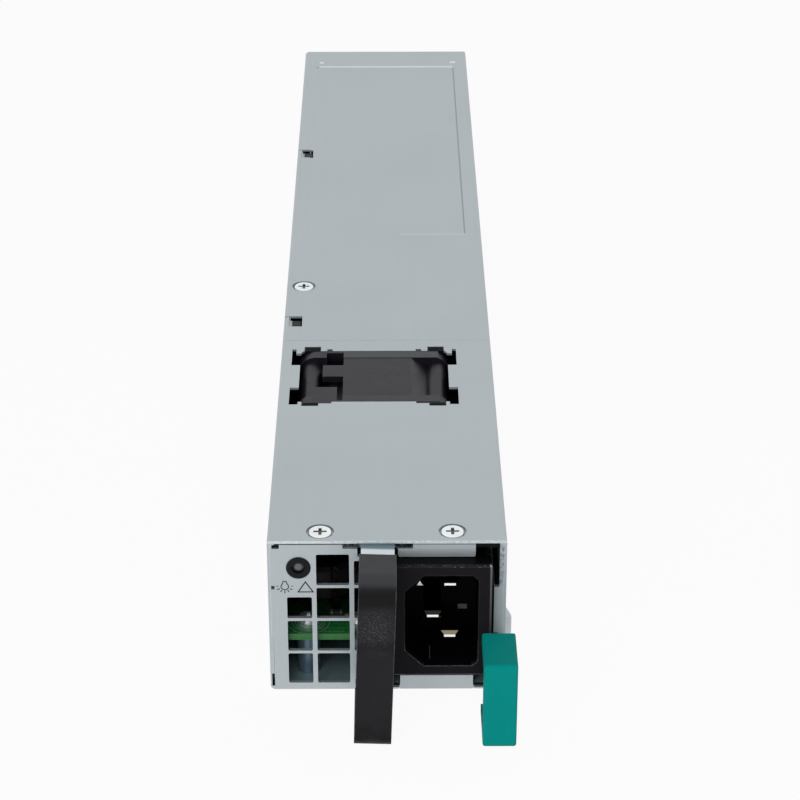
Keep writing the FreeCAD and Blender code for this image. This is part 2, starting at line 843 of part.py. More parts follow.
def fan_opening(cover):
    """The fan is as tall as the case, so it stands in an opening that follows its ears."""
    gap, corner = size.fan_gap, size.opening_corner
    left = fan_x - fan_half + size.fan_side_cover
    right = fan_x + fan_half - size.fan_side_cover
    front, rear = size.fan_front - gap, fan_rear + gap
    cut(cover, "XY", cover_under, size.body_height, [
        (left, front), (right, front), (right, rear - corner), (right - corner / 2, rear),
        (left + corner / 2, rear), (left, rear - corner)])
    notch_front = front - size.notch_front_reach
    notch_rear = rear + size.notch_rear_reach
    for side, edge in ((-1, left), (1, right)):
        outer = edge + size.notch_wide * side
        inner = outer - size.notch_slot * side
        cut(cover, "XY", cover_under, size.body_height, [
            (outer, notch_front), (edge, notch_front), (edge, notch_front + size.notch_deep),
            (outer, notch_front + size.notch_deep)])
        cut(cover, "XY", cover_under, size.body_height, [
            (outer, notch_rear - size.notch_deep), (edge, notch_rear - size.notch_deep),
            (edge, rear - corner), (inner, rear - corner), (inner, notch_rear), (outer, notch_rear)])
    for middle, wide, start, long in fan_ears():
        cut(cover, "XY", cover_under, size.body_height, rectangle(
            fan_x + middle - wide / 2 - gap, fan_x + middle + wide / 2 + gap,
            start - gap, start + long + gap))


def front_cover():
    cover = cover_shell("front_cover", 0, size.cover_seam)
    left, right = inlet_x - size.cover_lip_left_reach, inlet_x + size.cover_lip_right_reach
    add(cover, "XZ", 0, size.cover_sheet, [
        (left, cover_lip_low, size.window_corner), (right, cover_lip_low, size.window_corner),
        (right, cover_under), (tee_right, cover_under), (tee_right, strap_slot_low),
        (left, strap_slot_low)])
    screw_dimples(cover, cover_screws_at[:2])
    fan_opening(cover)
    node(cover, "front_cover")


def rear_cover():
    cover = cover_shell("rear_cover", size.cover_seam + size.joint_gap, size.body_length)
    label_rear = size.body_length - size.label_rear_inset
    cut(cover, "XY", size.body_height - size.label_deep, size.body_height, rectangle(
        -half + size.label_left_inset, half - size.label_right_inset,
        label_rear - size.label_long, label_rear))
    slot_left = -wall_in - size.slit_wide
    slot_right = slot_left + size.slot_wide
    for y in hook_spots:
        front, rear = y - size.slot_deep / 2, y + size.slot_deep / 2
        cut(cover, "XY", cover_under, size.body_height, rectangle(slot_left, slot_right, front, rear))
        cut(cover, "XY", cover_under, size.body_height,
            rectangle(-half, slot_left, rear - size.slit_wide, rear))
    chamfer = size.rear_chamfer
    cut(cover, "XY", cover_under, size.body_height, [
        (-half, size.body_length - chamfer), (-half + chamfer, size.body_length),
        (-half, size.body_length)])
    screw_dimples(cover, cover_screws_at[2:])
    node(cover, "rear_cover")


def cross_recess(body, top, deep, reach, arm):
    """The driver recess of a screw: a plain cross."""
    corners = [(arm, arm), (reach, arm), (reach, -arm), (arm, -arm), (arm, -reach), (-arm, -reach),
               (-arm, -arm), (-reach, -arm), (-reach, arm), (-arm, arm), (-arm, reach), (arm, reach)]
    cut(body, "XY", top - deep, top, corners)


def screw(name, head, cap, shank, long):
    """A screw with its seat at its own origin and its shank pointing down."""
    body = new_body(name)
    crown = head / 2 - cap / 3
    revolve(body, [(Length("0"), -long), (shank / 2, -long), (shank / 2, 0), (head / 2, 0),
                   (head / 2, cap * 0.6), (crown, cap), (Length("0"), cap)])
    cross_recess(body, cap, cap * 0.7, head * 0.28, head * 0.07)
    return body


def cover_screws():
    piece = screw("cover_screw", size.screw_head, size.dimple_deep, size.screw_shank, size.screw_long)
    group("cover_screws", piece, [(x, y, screw_seat) for x, y in cover_screws_at])


# ---------------------------------------------------------------- status lamp

def status_lamp():
    bezel = new_body("lamp_bezel")
    hole, barrel, rim = size.lamp_lens / 2 + size.joint_gap / 2, size.lamp_barrel / 2, size.lamp_bezel / 2
    proud, deep = size.lamp_proud, size.lamp_deep
    revolve(bezel, [
        (hole, -proud / 2), (hole + proud / 2, -proud), (rim - proud / 2, -proud),
        (rim, -proud / 2), (rim, 0), (barrel, 0), (barrel, deep), (hole, deep)])
    node(place(bezel, lamp_x, 0, lamp_z, *ALONG_Y), "lamp_bezel")
    lens = new_body("lamp_lens")
    radius = size.lamp_lens / 2
    revolve(lens, [
        (Length("0"), proud / 2), (radius * 0.6, proud * 0.7), (radius, proud * 1.6),
        (radius, deep * 1.2), (Length("0"), deep * 1.2)])
    node(place(lens, lamp_x, 0, lamp_z, *ALONG_Y), "lamp_lens")


# ---------------------------------------------------------------- pull strap

def strap_outline(offset, top_end, bottom_end):
    """Side view of the bent strap, offset to both sides of its middle line."""
    rise = strap_top - size.strap_bottom
    slant = f"atan({(size.strap_out_bottom - size.strap_out_top).text} / {rise.text})"
    top_share = Length(f"tan(45 deg - {slant} / 2)")
    bottom_share = Length(f"tan(45 deg + {slant} / 2)")
    top, bottom = strap_top - strap_mid, size.strap_bottom - strap_mid

    def corners(reach):
        return [
            (-(size.strap_out_top + top_share * reach), top + reach, size.strap_top_bend + reach),
            (-(size.strap_out_bottom + bottom_share * reach), bottom - reach,
             size.strap_bottom_bend + reach)]

    outside, inside = corners(offset), corners(-offset)
    return [(top_end, top + offset), *outside, (bottom_end, bottom - offset),
            (bottom_end, bottom + offset), inside[1], inside[0], (top_end, top - offset)]


def pull_strap():
    lean = ((0, 1, 0), float(size.strap_lean))
    spot = (strap_x, 0, strap_mid)
    thick = size.band_sheet / 2
    behind = size.tray_sheet + size.joint_gap
    band = new_body("handle_band")
    add(band, "YZ", -size.band_wide / 2, size.band_wide / 2,
        strap_outline(thick, behind, behind + size.band_sheet))
    top, bottom = strap_top - strap_mid, size.strap_bottom - strap_mid
    add(band, "YZ", -size.band_tee_wide / 2, size.band_tee_wide / 2,
        rectangle(behind, behind + size.band_hook_rise, top - thick, top + thick))
    add(band, "YZ", -size.band_wide / 2, size.band_wide / 2,
        rectangle(behind, behind + size.band_sheet, bottom - thick, bottom + size.band_hook_rise))
    node(place(band, *spot, *lean), "handle_band")
    sleeve = new_body("handle_sleeve")
    start = -size.sleeve_start
    add(sleeve, "YZ", -size.sleeve_wide / 2, size.sleeve_wide / 2,
        strap_outline(size.sleeve_thick / 2, start, start))
    room = size.joint_gap / 2
    cut(sleeve, "YZ", -size.band_wide / 2 - room, size.band_wide / 2 + room,
        strap_outline(thick + room, start, start))
    node(place(sleeve, *spot, *lean), "handle_sleeve")


# ---------------------------------------------------------------- mains inlet

def inlet_cavity():
    """The mouth of an appliance inlet: two corners on the earth side are cut off."""
    left, right = inlet_x - size.cavity_wide / 2, inlet_x + size.cavity_wide / 2
    low, high = inlet_z - size.cavity_rise / 2, inlet_z + size.cavity_rise / 2
    big, small = size.cavity_chamfer, size.cavity_corner
    return [(left + big, low), (right - small, low), (right, low + small), (right, high - small),
            (right - small, high), (left + big, high), (left, high - big), (left, low + big)]


def inlet_blade_spots():
    """Line and neutral one above the other, earth between them to the left and further out."""
    tip = size.blade_recess - size.inlet_proud
    right, half_pitch = inlet_x + size.blade_offset, size.blade_pitch / 2
    return [(right, tip, inlet_z - half_pitch), (right, tip, inlet_z + half_pitch),
            (inlet_x - size.blade_offset, tip - size.earth_lead, inlet_z)]


def mains_inlet():
    housing = new_body("inlet_housing")
    x, z, behind = inlet_x, inlet_z, size.tray_sheet + size.joint_gap
    wide, rise = size.inlet_flange_wide / 2, size.inlet_flange_rise / 2
    front, rear = -size.inlet_proud, behind + size.inlet_body_deep
    add(housing, "XZ", front, behind,
        rectangle(x - wide, x + wide, z - rise, z + rise, size.inlet_flange_corner))
    ledge_half, grip = size.cavity_wide / 2 - size.joint_gap * 4, lip_rise / 2
    add(housing, "XZ", behind, behind + size.inlet_ledge_deep,
        rectangle(x - ledge_half, x + ledge_half, lip_rise - grip, cover_lip_low + grip * 0.6))
    wide, rise = size.inlet_body_wide / 2, size.inlet_body_rise / 2
    add(housing, "XZ", behind, rear, rectangle(x - wide, x + wide, z - rise, z + rise))
    bottom = front + size.cavity_deep
    cut(housing, "XZ", front, bottom, inlet_cavity())
    room = size.joint_gap / 2
    wide, thick = size.blade_wide / 2 + room, size.blade_thick / 2 + room
    cut(housing, "XZ", bottom, rear, *[
        rectangle(bx - wide, bx + wide, bz - thick, bz + thick) for bx, _, bz in inlet_blade_spots()])
    outside = size.cavity_wide / 2 + size.inlet_flange_corner
    above = size.cavity_rise / 2 + size.inlet_flange_corner

    def front_rim(edge):
        box = edge.BoundBox
        if not (near(box.YMin, front) and near(box.YMax, front)):
            return False
        across, up = abs(box.Center.x - float(x)), abs(box.Center.z - float(z))
        return across > float(outside) or up > float(above)

    soften(housing, "Chamfer", size.inlet_flange_corner / 2, front_rim)
    node(housing, "inlet_housing")

    blade = new_body("inlet_blade")
    wide, thick = size.blade_wide / 2, size.blade_thick / 2
    long = rear - inlet_blade_spots()[0][1]
    add(blade, "XZ", 0, long, rectangle(-wide, wide, -thick, thick))
    soften(blade, "Chamfer", size.blade_tip * 0.7, lambda edge: near(edge.BoundBox.YMax, 0))
    thin = size.terminal_thick / 2
    add(blade, "XZ", long, long + size.terminal_long, rectangle(-wide, wide, -thin, thin))
    group("inlet_blades", blade, inlet_blade_spots())


# ---------------------------------------------------------------- release latch

def release_latch():
    """A leaf spring along the right side with a catch tooth, and the moulded grip on its end."""
    inner_end = -(size.grip_front - size.spring_inset)
    tail_end = size.hinge_y + size.spring_tail
    spring = new_body("latch_spring")
    add(spring, "YZ", spring_in, half,
        rectangle(inner_end, tail_end, size.spring_low, spring_top, size.window_corner))
    hole = size.rivet_shank + size.spring_gap * 2
    cut(spring, "YZ", spring_in, half, *[disc(size.hinge_y, z, hole) for z in rivet_heights()])
    low, high = size.spring_low + size.tooth_proud, spring_top - size.spring_gap
    add(spring, "XY", low, high, [
        (spring_in, size.tooth_front), (half + size.tooth_proud, size.tooth_front),
        (half + size.tooth_proud, size.tooth_front + size.tooth_proud / 2),
        (half, size.tooth_rear), (spring_in, size.tooth_rear)])
    node(spring, "latch_spring")

    rivet = new_body("latch_rivet")
    shank, head = size.rivet_shank / 2, size.rivet_head / 2
    grip_length = half - wall_in + size.spring_gap / 2
    revolve(rivet, [
        (Length("0"), -size.rivet_cap), (head * 0.8, -size.rivet_cap), (head * 0.8, 0), (shank, 0),
        (shank, grip_length), (head, grip_length), (head * 0.8, grip_length + size.rivet_cap),
        (Length("0"), grip_length + size.rivet_cap)])
    group("latch_rivets", rivet, [(wall_in, size.hinge_y, z) for z in rivet_heights()], *ALONG_X)

    grip = new_body("latch_grip")
    grip_left, grip_right = half - size.grip_inside, half + size.grip_outside
    front, rear, wall = -size.grip_front, -size.grip_rear, size.grip_wall
    low, high, lip = size.grip_bottom, size.grip_top, size.grip_lip
    add(grip, "YZ", grip_left, grip_right, [
        (front, low, size.grip_round), (rear, low), (rear, low + lip), (front + wall, low + lip),
        (front + wall, high - wall), (rear, high - wall), (rear, high), (front, high, size.grip_round)])
    web_rear = rear - size.joint_gap * 5
    web_left = grip_right - size.grip_web
    add(grip, "YZ", web_left, grip_right,
        rectangle(front + wall, web_rear, low + lip, high - wall))
    room = size.joint_gap / 2
    cut(grip, "YZ", spring_in - room, half + room,
        rectangle(inner_end - room, rear, size.spring_low - room, spring_top + room))

    def outer_side(edge):
        """The front and top edges of the two side faces."""
        box = edge.BoundBox
        on_side = box.XLength < 0.01 and (
            near(box.XMin, grip_left) or near(box.XMin, grip_right))
        return on_side and (near(box.YMax, front) or near(box.ZMin, high))

    soften(grip, "Fillet", size.grip_round * 0.6, outer_side)
    node(grip, "latch_grip")


# ---------------------------------------------------------------- fan

fan_centre = (fan_x, fan_z)


def fan_corners():
    out = fan_column_out
    return [(-out, -out), (out, -out), (out, out), (-out, out)]


def fan_frame():
    """Square flanges joined by a tube that is cut flat on four sides, with screw columns."""
    frame = new_body("fan_frame")
    front, rear, flange = size.fan_front, fan_rear, size.fan_flange
    square = rectangle(-fan_half, fan_half, -fan_half, fan_half, size.fan_corner)
    tube = fan_tube / 2
    add(frame, "XZ", front, rear, disc(0, 0, fan_tube), centre=fan_centre)
    cut(frame, "XZ", front, rear,
        rectangle(-tube, tube, fan_half, tube), rectangle(-tube, tube, -tube, -fan_half),
        centre=fan_centre)
    cut(frame, "XZ", front, rear,
        rectangle(fan_half, tube, -tube, tube), rectangle(-tube, -fan_half, -tube, tube),
        centre=fan_centre)
    add(frame, "XZ", front, rear, *[disc(x, z, size.fan_column) for x, z in fan_corners()],
        centre=fan_centre)
    add(frame, "XZ", front, front + flange, square, centre=fan_centre)
    add(frame, "XZ", rear - flange, rear, square, centre=fan_centre)
    cut(frame, "XZ", front, rear, disc(0, 0, fan_bore),
        *[disc(x, z, size.fan_hole) for x, z in fan_corners()], centre=fan_centre)
    fan_wire_channel(frame)
    for middle, wide, start, long in fan_ears():
        add(frame, "XZ", start, start + long, rectangle(
            middle - wide / 2, middle + wide / 2, fan_half - size.fan_tab_thick, fan_half),
            centre=fan_centre)
    base_start = rear - size.fan_base_thick - size.fan_gap
    add(frame, "XZ", base_start, rear - size.fan_gap, disc(0, 0, size.fan_base), centre=fan_centre)
    bite, vane_half = size.fan_vane_thick, size.fan_vane_thick / 2
    vane = add(frame, "XZ", rear - size.fan_vane_deep, rear - size.fan_gap, rectangle(
        size.fan_base / 2 - bite, fan_bore / 2 + bite, -vane_half, vane_half),
        centre=fan_centre)
    ring_pattern(frame, vane, size.fan_vanes)
    seat = size.bearing_outer / 2 + size.running_gap
    tube_front = front + size.hub_start + size.hub_wall + size.air_gap
    add(frame, "XZ", tube_front, base_start, disc(0, 0, (seat + size.bearing_tube_wall) * 2),
        centre=fan_centre)
    cut(frame, "XZ", tube_front, base_start, disc(0, 0, seat * 2), centre=fan_centre)
    node(frame, "fan_frame")


def fan_wire_channel(frame):
    """At the upper left the tube is hollowed under two tabs, a crooked path for the wires."""
    top, thick = fan_half, size.fan_tab_thick
    kept = fan_bore / 2 + size.channel_floor
    left, rear_left, right = -size.channel_left, -size.channel_rear_left, -size.channel_right
    front, rear = size.fan_front + size.channel_rim, fan_rear - size.channel_rim
    hole_start = size.fan_front + size.rear_tab_start + size.rear_tab_long

    def tube_top(x):
        return Length(f"sqrt({kept.text} ^ 2 - {x.text} ^ 2)")

    cut(frame, "XZ", front, hole_start,
        [(left, top), (left, tube_top(left)), (right, tube_top(right)), (right, top)],
        centre=fan_centre)
    cut(frame, "XZ", hole_start, rear, rectangle(rear_left, right, fan_half / 2, top),
        centre=fan_centre)
    add(frame, "XZ", size.fan_front, size.fan_front + size.front_tab_end,
        rectangle(left - thick, right - size.channel_gap, top - thick, top), centre=fan_centre)
    tab_start = size.fan_front + size.rear_tab_start
    add(frame, "XZ", tab_start, tab_start + size.rear_tab_long,
        rectangle(right - size.rear_tab_reach, right + thick, top - thick, top), centre=fan_centre)


def fan_blade_section(angle, chord, thick):
    """A cambered strip, seen along the blade: points of an arc, offset to both sides."""
    steps, camber = 4, 0.08
    slope = math.radians(angle)
    middle_line = []
    for step in range(steps + 1):
        along = step / steps - 0.5
        bow = camber * (1 - (2 * along) ** 2)
        y = along * math.cos(slope) - bow * math.sin(slope)
        z = along * math.sin(slope) + bow * math.cos(slope)
        middle_line.append((y, z))
    side = (-math.sin(slope), math.cos(slope))
    upper = [(chord * y + thick * (side[0] / 2), chord * z + thick * (side[1] / 2))
             for y, z in middle_line]
    lower = [(chord * y - thick * (side[0] / 2), chord * z - thick * (side[1] / 2))
             for y, z in reversed(middle_line)]
    return upper + lower


def fan_rotor():
    """The hub cup with its blades, each lofted from a steep root to a flatter tip."""
    rotor = new_body("fan_rotor")
    tip = fan_bore / 2 - size.fan_blade_gap
    outer = size.hub / 2
    # Built about the rotor's own Z axis, which points along the case's +Y.
    revolve(rotor, [
        (Length("0"), 0), (outer - size.hub_wall / 2, 0), (outer, size.hub_wall / 2),
        (outer, size.hub_long), (outer - size.hub_wall, size.hub_long),
        (outer - size.hub_wall, size.hub_wall), (size.shaft / 2, size.hub_wall),
        (size.shaft / 2, size.hub_wall / 2), (Length("0"), size.hub_wall / 2)])
    middle = size.hub_long / 2
    sections = [
        (outer - size.hub_wall * 0.8, float(size.fan_blade_root_angle), size.fan_blade_chord * 0.94),
        (tip + size.fan_blade_gap, float(size.fan_blade_tip_angle), size.fan_blade_chord * 1.05)]
    sketches = []
    for radius, angle, chord in sections:
        sketch = new_sketch(rotor, "YZ", radius, centre=(Length("0"), middle))
        draw(sketch, [fan_blade_section(angle, chord, size.fan_blade_thick)])
        sketches.append(sketch)
    blade = rotor.newObject("PartDesign::AdditiveLoft", "blade")
    blade.Profile = sketches[0]
    blade.Sections = sketches[1:]
    blade.Ruled = True
    ring_pattern(rotor, blade, size.fan_blades, z_axis(rotor))
    cut(rotor, "XY", -size.hub_long, size.hub_long * 2,
        disc(0, 0, tip * 2), disc(0, 0, (tip + size.fan_blade_chord) * 2))
    node(place(rotor, fan_x, size.fan_front + size.hub_start, fan_z, *ALONG_Y), "fan_rotor")


def turned_at_fan(name, start, corners):
    """A turned piece on the fan's axis; heights count from the start, into the case."""
    piece = new_body(name)
    revolve(piece, corners)
    return place(piece, fan_x, start, fan_z, *ALONG_Y)


def ring(inner, outer, low, high):
    return [(inner, low), (outer, low), (outer, high), (inner, high)]


def fan_motor():
    hub_front = size.fan_front + size.hub_start
    cup_in = size.hub / 2 - size.hub_wall
    magnet_in = cup_in - size.magnet_thick
    seat = size.bearing_outer / 2
    tube_out = seat + size.running_gap + size.bearing_tube_wall
    base_start = fan_rear - size.fan_base_thick - size.fan_gap
    tube_front = hub_front + size.hub_wall + size.air_gap
    magnet = turned_at_fan("fan_magnet", hub_front + size.hub_wall + size.air_gap * 2, ring(
        magnet_in, cup_in, Length("0"), size.hub_long - size.hub_wall - size.air_gap * 4))
    node(magnet, "fan_magnet_ring")
    shaft_end = base_start - size.air_gap
    shaft_start = hub_front + size.hub_wall / 2
    shaft = turned_at_fan("fan_shaft", shaft_start, [
        (Length("0"), 0), (size.shaft / 2, 0), (size.shaft / 2, shaft_end - shaft_start),
        (Length("0"), shaft_end - shaft_start)])
    node(shaft, "fan_shaft")
    bearing = new_body("fan_bearing")
    bore, edge = size.shaft / 2 + size.running_gap, size.bearing_wide / 8
    revolve(bearing, [
        (bore, 0), (seat - edge, 0), (seat, edge), (seat, size.bearing_wide - edge),
        (seat - edge, size.bearing_wide), (bore, size.bearing_wide)])
    group("fan_bearings", bearing, [
        (fan_x, tube_front, fan_z),
        (fan_x, base_start - size.bearing_wide, fan_z)], *ALONG_Y)
    stator = new_body("fan_stator")
    stator_start = tube_front + size.bearing_wide
    pole_out = magnet_in - size.air_gap
    add(stator, "XZ", stator_start, stator_start + size.stator_long,
        disc(0, 0, (tube_out + size.stator_yoke) * 2), disc(0, 0, tube_out * 2), centre=fan_centre)
    neck, shoe, shoe_thick = size.pole_neck / 2, size.pole_shoe / 2, size.stator_yoke * 0.6
    root = tube_out + size.stator_yoke / 2
    pole = add(stator, "XZ", stator_start, stator_start + size.stator_long, [
        (root, -neck), (pole_out - shoe_thick * 2.5, -neck), (pole_out - shoe_thick * 2, -shoe),
        (pole_out - shoe_thick, -shoe), (pole_out, 0), (pole_out - shoe_thick, shoe),
        (pole_out - shoe_thick * 2, shoe), (pole_out - shoe_thick * 2.5, neck), (root, neck)],
        centre=fan_centre)
    ring_pattern(stator, pole, size.stator_poles)
    node(stator, "fan_stator")
    circuit = turned_at_fan("fan_circuit_board", base_start - size.board_sheet / 2 - size.joint_gap,
        ring(tube_out, size.fan_base / 2 - size.fan_vane_thick - size.air_gap, Length("0"),
             size.board_sheet / 2))
    node(circuit, "fan_circuit_board")


# ---------------------------------------------------------------- boards and their fixings

def filter_holes():
    side, inset = size.filter_hole_side, size.filter_hole_inset
    front, rear = size.filter_front + inset, size.filter_front + size.filter_length - inset
    return [(x, y) for x in (filter_left + side, filter_right - side) for y in (front, rear)]


def main_holes():
    side = board_side - size.standoff / 2 - size.joint_gap * 4
    front = row_choke + size.pfc_thick / 2
    rear = row_busbars + bar_long + size.part_gap * 2
    return [(x, y) for x in (-side, side) for y in (front, rear)]


def standoff_and_screws(name, low, high, spots):
    """Round threaded posts from the floor to a board, with a screw down into each."""
    post = new_body(f"{name}_standoff")
    bore = size.board_screw_shank / 2 + size.joint_gap / 4
    revolve(post, ring(bore, size.standoff / 2, Length("0"), high - low))
    group(f"{name}_standoffs", post, [(x, y, low) for x, y in spots])
    seat = high + size.board_sheet
    long = (high - low) / 2 + size.board_sheet
    piece = screw(f"{name}_screw", size.board_screw_head, size.board_screw_cap,
                  size.board_screw_shank, long)
    group(f"{name}_screws", piece, [(x, y, seat) for x, y in spots])


def filter_board():
    board = new_body("filter_board")
    low = size.filter_board_low
    front = size.filter_front
    add(board, "XY", low, filter_board_top, rectangle(
        filter_left, filter_right, front, front + size.filter_length, size.window_corner))
    hole = size.board_screw_shank + size.joint_gap * 3
    cut(board, "XY", low, filter_board_top, *[disc(x, y, hole) for x, y in filter_holes()])
    node(board, "filter_board")
    standoff_and_screws("filter_board", floor, low, filter_holes())


def main_board():
    """The board behind the fan; its rear tongue is the card edge of the output."""
    board = new_body("main_board")
    side = board_side
    left = size.card_edge_x - size.card_edge_wide / 2
    right = left + size.card_edge_wide
    add(board, "XY", size.main_board_low, main_board_top, [
        (-side, main_front), (side, main_front), (side, main_board_rear),
        (right, main_board_rear), (right, card_end), (left, card_end), (left, main_board_rear),
        (-side, main_board_rear)])
    hole = size.board_screw_shank + size.joint_gap * 3
    cut(board, "XY", size.main_board_low, main_board_top, *[disc(x, y, hole) for x, y in main_holes()])
    node(board, "main_board")
    standoff_and_screws("main_board", floor, size.main_board_low, main_holes())
    insulator = new_body("insulating_sheet")
    add(insulator, "XY", floor, floor + size.insulator_sheet, rectangle(
        -side, side, main_front, main_board_rear))
    around = size.standoff + size.joint_gap * 4
    cut(insulator, "XY", floor, floor + size.insulator_sheet,
        *[disc(x, y, around) for x, y in main_holes()])
    node(insulator, "insulating_sheet")


def output_contacts():
    """Gold contact strips on both faces of the card edge."""
    strip = new_body("output_contact")
    long = card_end - size.body_length - size.joint_gap * 5
    add(strip, "XY", 0, size.contact_thick, rectangle(
        -size.contact_wide / 2, size.contact_wide / 2, -long, Length("0")))
    count = round(float(size.contact_count))
    pitch = size.card_edge_wide / size.contact_count
    end = card_end - size.joint_gap * 5
    spots = []
    for index in range(count):
        x = size.card_edge_x - size.card_edge_wide / 2 + pitch * (index + 0.5)
        spots += [(x, end, main_board_top), (x, end, size.main_board_low - size.contact_thick)]
    group("output_contacts", strip, spots)


# ---------------------------------------------------------------- parts on the boards

# Rows of the filter board, counted back from its front screws.
row_line_choke = size.filter_front + size.filter_hole_inset + size.standoff / 2 + size.part_gap
row_x_cap = row_line_choke + size.fuse_long + size.part_gap
y_cap_step = size.y_cap_thick + size.part_gap

# Rows of the main board, from the fan to the rear. The capacitors, the heatsink and the
# bus bars share the length that the other rows leave.
row_plug = main_front + size.part_gap
row_choke = row_plug + size.relay_deep + size.part_gap
row_bulk = row_choke + size.pfc_thick + size.part_gap * 2
row_output = main_board_rear - size.part_gap - size.out_cap_pitch * size.out_cap_rows
busbars_end = row_output - size.part_gap * 5
long_room = busbars_end - row_bulk - size.standby_deep - size.part_gap * 3
bulk_long = long_room * size.bulk_share
sink_long = long_room * size.sink_share
bar_long = long_room - bulk_long - sink_long
row_sink = row_bulk + bulk_long + size.part_gap
row_standby = row_sink + sink_long + size.part_gap
row_busbars = row_standby + size.standby_deep + size.part_gap
card_end = size.body_length + size.card_edge_long

# Widths that follow from the case.
board_side = low_wall_in - size.board_side_gap
line_choke_lift = size.turn_wire + size.joint_gap
line_choke_across = (filter_right - filter_left - size.fuse_across - size.joint_gap * 12
                     - line_choke_lift * 2)
beside_choke, above_choke = size.body_width - size.pfc_beside, size.body_height - size.pfc_above
pfc_across = Length(f"min({beside_choke.text}; {above_choke.text})")
pfc_lift = pfc_across / 2 + size.turn_wire + size.joint_gap * 2
pfc_x = low_wall_in - size.pfc_side_room - pfc_lift
bulk_across = low_wall_in - size.bulk_gap / 2 - size.bulk_side_room
rectifier_x = low_wall_in - size.mos_wide / 2 - size.part_gap


def upright_block(name, x, y, z, wide, deep, tall, radius):
    """A moulded case on a board: rounded upright corners and a softened top."""
    body = new_body(name)
    add(body, "XY", z, z + tall, rectangle(x, x + wide, y, y + deep, radius))
    soften(body, "Chamfer", radius / 2, lambda edge: near(edge.BoundBox.ZMin, z + tall))
    return node(body, name)


def toroid(name, inner, outer, thick):
    """A ferrite ring with softened rims, about its own Z axis."""
    body = new_body(name)
    rim = thick / 10
    revolve(body, [
        (inner, rim), (inner + rim, 0), (outer - rim, 0), (outer, rim), (outer, thick - rim),
        (outer - rim, thick), (inner + rim, thick), (inner, thick - rim)])
    return body


def winding_turns(name, inner, outer, thick, wire, count):
    """Turns of thick wire round a ring core: each is a square loop about the core's section."""
    body = new_body(name)
    room = size.joint_gap
    low, high = inner - room, outer + room
    turn = add(body, "XZ", -wire / 2, wire / 2,
               rectangle(low - wire, high + wire, -wire - room, thick + wire + room),
               rectangle(low, high, -room, thick + room))
    ring_pattern(body, turn, count, z_axis(body))
    return body


def filter_parts():
    """Line choke, fuse and capacitors that keep mains noise in."""
    top = filter_board_top
    outer, inner = line_choke_across / 2, line_choke_across / 4
    around = outer + line_choke_lift
    spot = (filter_left + size.joint_gap * 5 + around, row_line_choke + around,
            top + line_choke_lift)
    core = toroid("line_choke_core", inner, outer, size.line_choke_tall)
    node(place(core, *spot), "line_choke_core")
    turns = winding_turns("line_choke_winding", inner, outer, size.line_choke_tall,
                          size.turn_wire, size.line_choke_turns)
    node(place(turns, *spot), "line_choke_winding")
    left = filter_left + size.part_gap
    upright_block("x_capacitor", left, row_x_cap, top, size.x_cap_wide, size.x_cap_long,
                  size.x_cap_tall, size.window_corner * 2)
    fuse_spot = (filter_right - size.joint_gap * 5 - size.fuse_across / 2, row_line_choke,
                 top + size.fuse_across / 2)
    fuse = new_body("fuse")
    radius, end = size.fuse_across / 2, size.fuse_cap_long
    body_radius = radius - size.joint_gap * 3
    revolve(fuse, [
        (Length("0"), 0), (radius, 0), (radius, end), (body_radius, end),
        (body_radius, size.fuse_long - end), (radius, size.fuse_long - end),
        (radius, size.fuse_long), (Length("0"), size.fuse_long)])
    node(place(fuse, *fuse_spot, *ALONG_Y), "fuse")
    disc_piece = new_body("y_capacitor")
    radius = size.y_cap_across / 2
    edge = size.y_cap_thick / 3
    revolve(disc_piece, [
        (Length("0"), 0), (radius - edge, 0), (radius, edge), (radius, size.y_cap_thick - edge),
        (radius - edge, size.y_cap_thick), (Length("0"), size.y_cap_thick)])
    x = left + size.x_cap_wide + size.part_gap + radius
    group("y_capacitors", disc_piece, [
        (x, row_x_cap + step * y_cap_step, top + radius) for step in range(2)], *ALONG_Y)


def main_front_parts():
    """Fan plug, inrush relay and bridge rectifier, in the row next to the fan."""
    top = main_board_top
    left, right = -board_side + size.part_gap, board_side - size.part_gap
    upright_block("fan_plug", left, row_plug, top, size.plug_wide, size.plug_deep, size.plug_tall,
                  size.window_corner)
    relay_x = left + size.plug_wide + size.part_gap
    x, cut_corner = right - size.bridge_wide, size.bridge_deep
    upright_block("inrush_relay", relay_x, row_plug, top, x - size.part_gap - relay_x,
                  size.relay_deep, size.relay_tall, size.window_corner)
    bridge = new_body("bridge_rectifier")
    add(bridge, "XZ", row_plug, row_plug + size.bridge_deep, [
        (x, top), (right, top), (right, top + size.bridge_tall - cut_corner),
        (right - cut_corner, top + size.bridge_tall), (x, top + size.bridge_tall)])
    node(bridge, "bridge_rectifier")


def power_factor_parts():
    """The boost choke stands on its rim beside the film capacitor."""
    outer, inner, thick = pfc_across / 2, size.pfc_bore / 2, size.pfc_thick - size.turn_wire * 2
    spot = (pfc_x, row_choke + size.turn_wire, main_board_top + pfc_lift)
    core = toroid("pfc_choke_core", inner, outer, thick)
    node(place(core, *spot, *ALONG_Y), "pfc_choke_core")
    turns = winding_turns("pfc_choke_winding", inner, outer, thick, size.turn_wire, size.turn_count)
    node(place(turns, *spot, *ALONG_Y), "pfc_choke_winding")
    film_left = pfc_x - pfc_lift - size.joint_gap * 4 - size.film_cap_wide
    upright_block("film_capacitor", film_left, row_choke, main_board_top, size.film_cap_wide,
                  size.pfc_thick, size.film_cap_tall, size.window_corner * 2)


def can(name, across, long):
    """An aluminium can capacitor with its crimped groove near the base."""
    body = new_body(name)
    radius, groove = across / 2, across / 20
    revolve(body, [
        (Length("0"), 0), (radius - groove, 0), (radius, groove), (radius, groove * 2),
        (radius - groove, groove * 3), (radius, groove * 4), (radius, long - groove),
        (radius - groove, long), (Length("0"), long)])
    return body


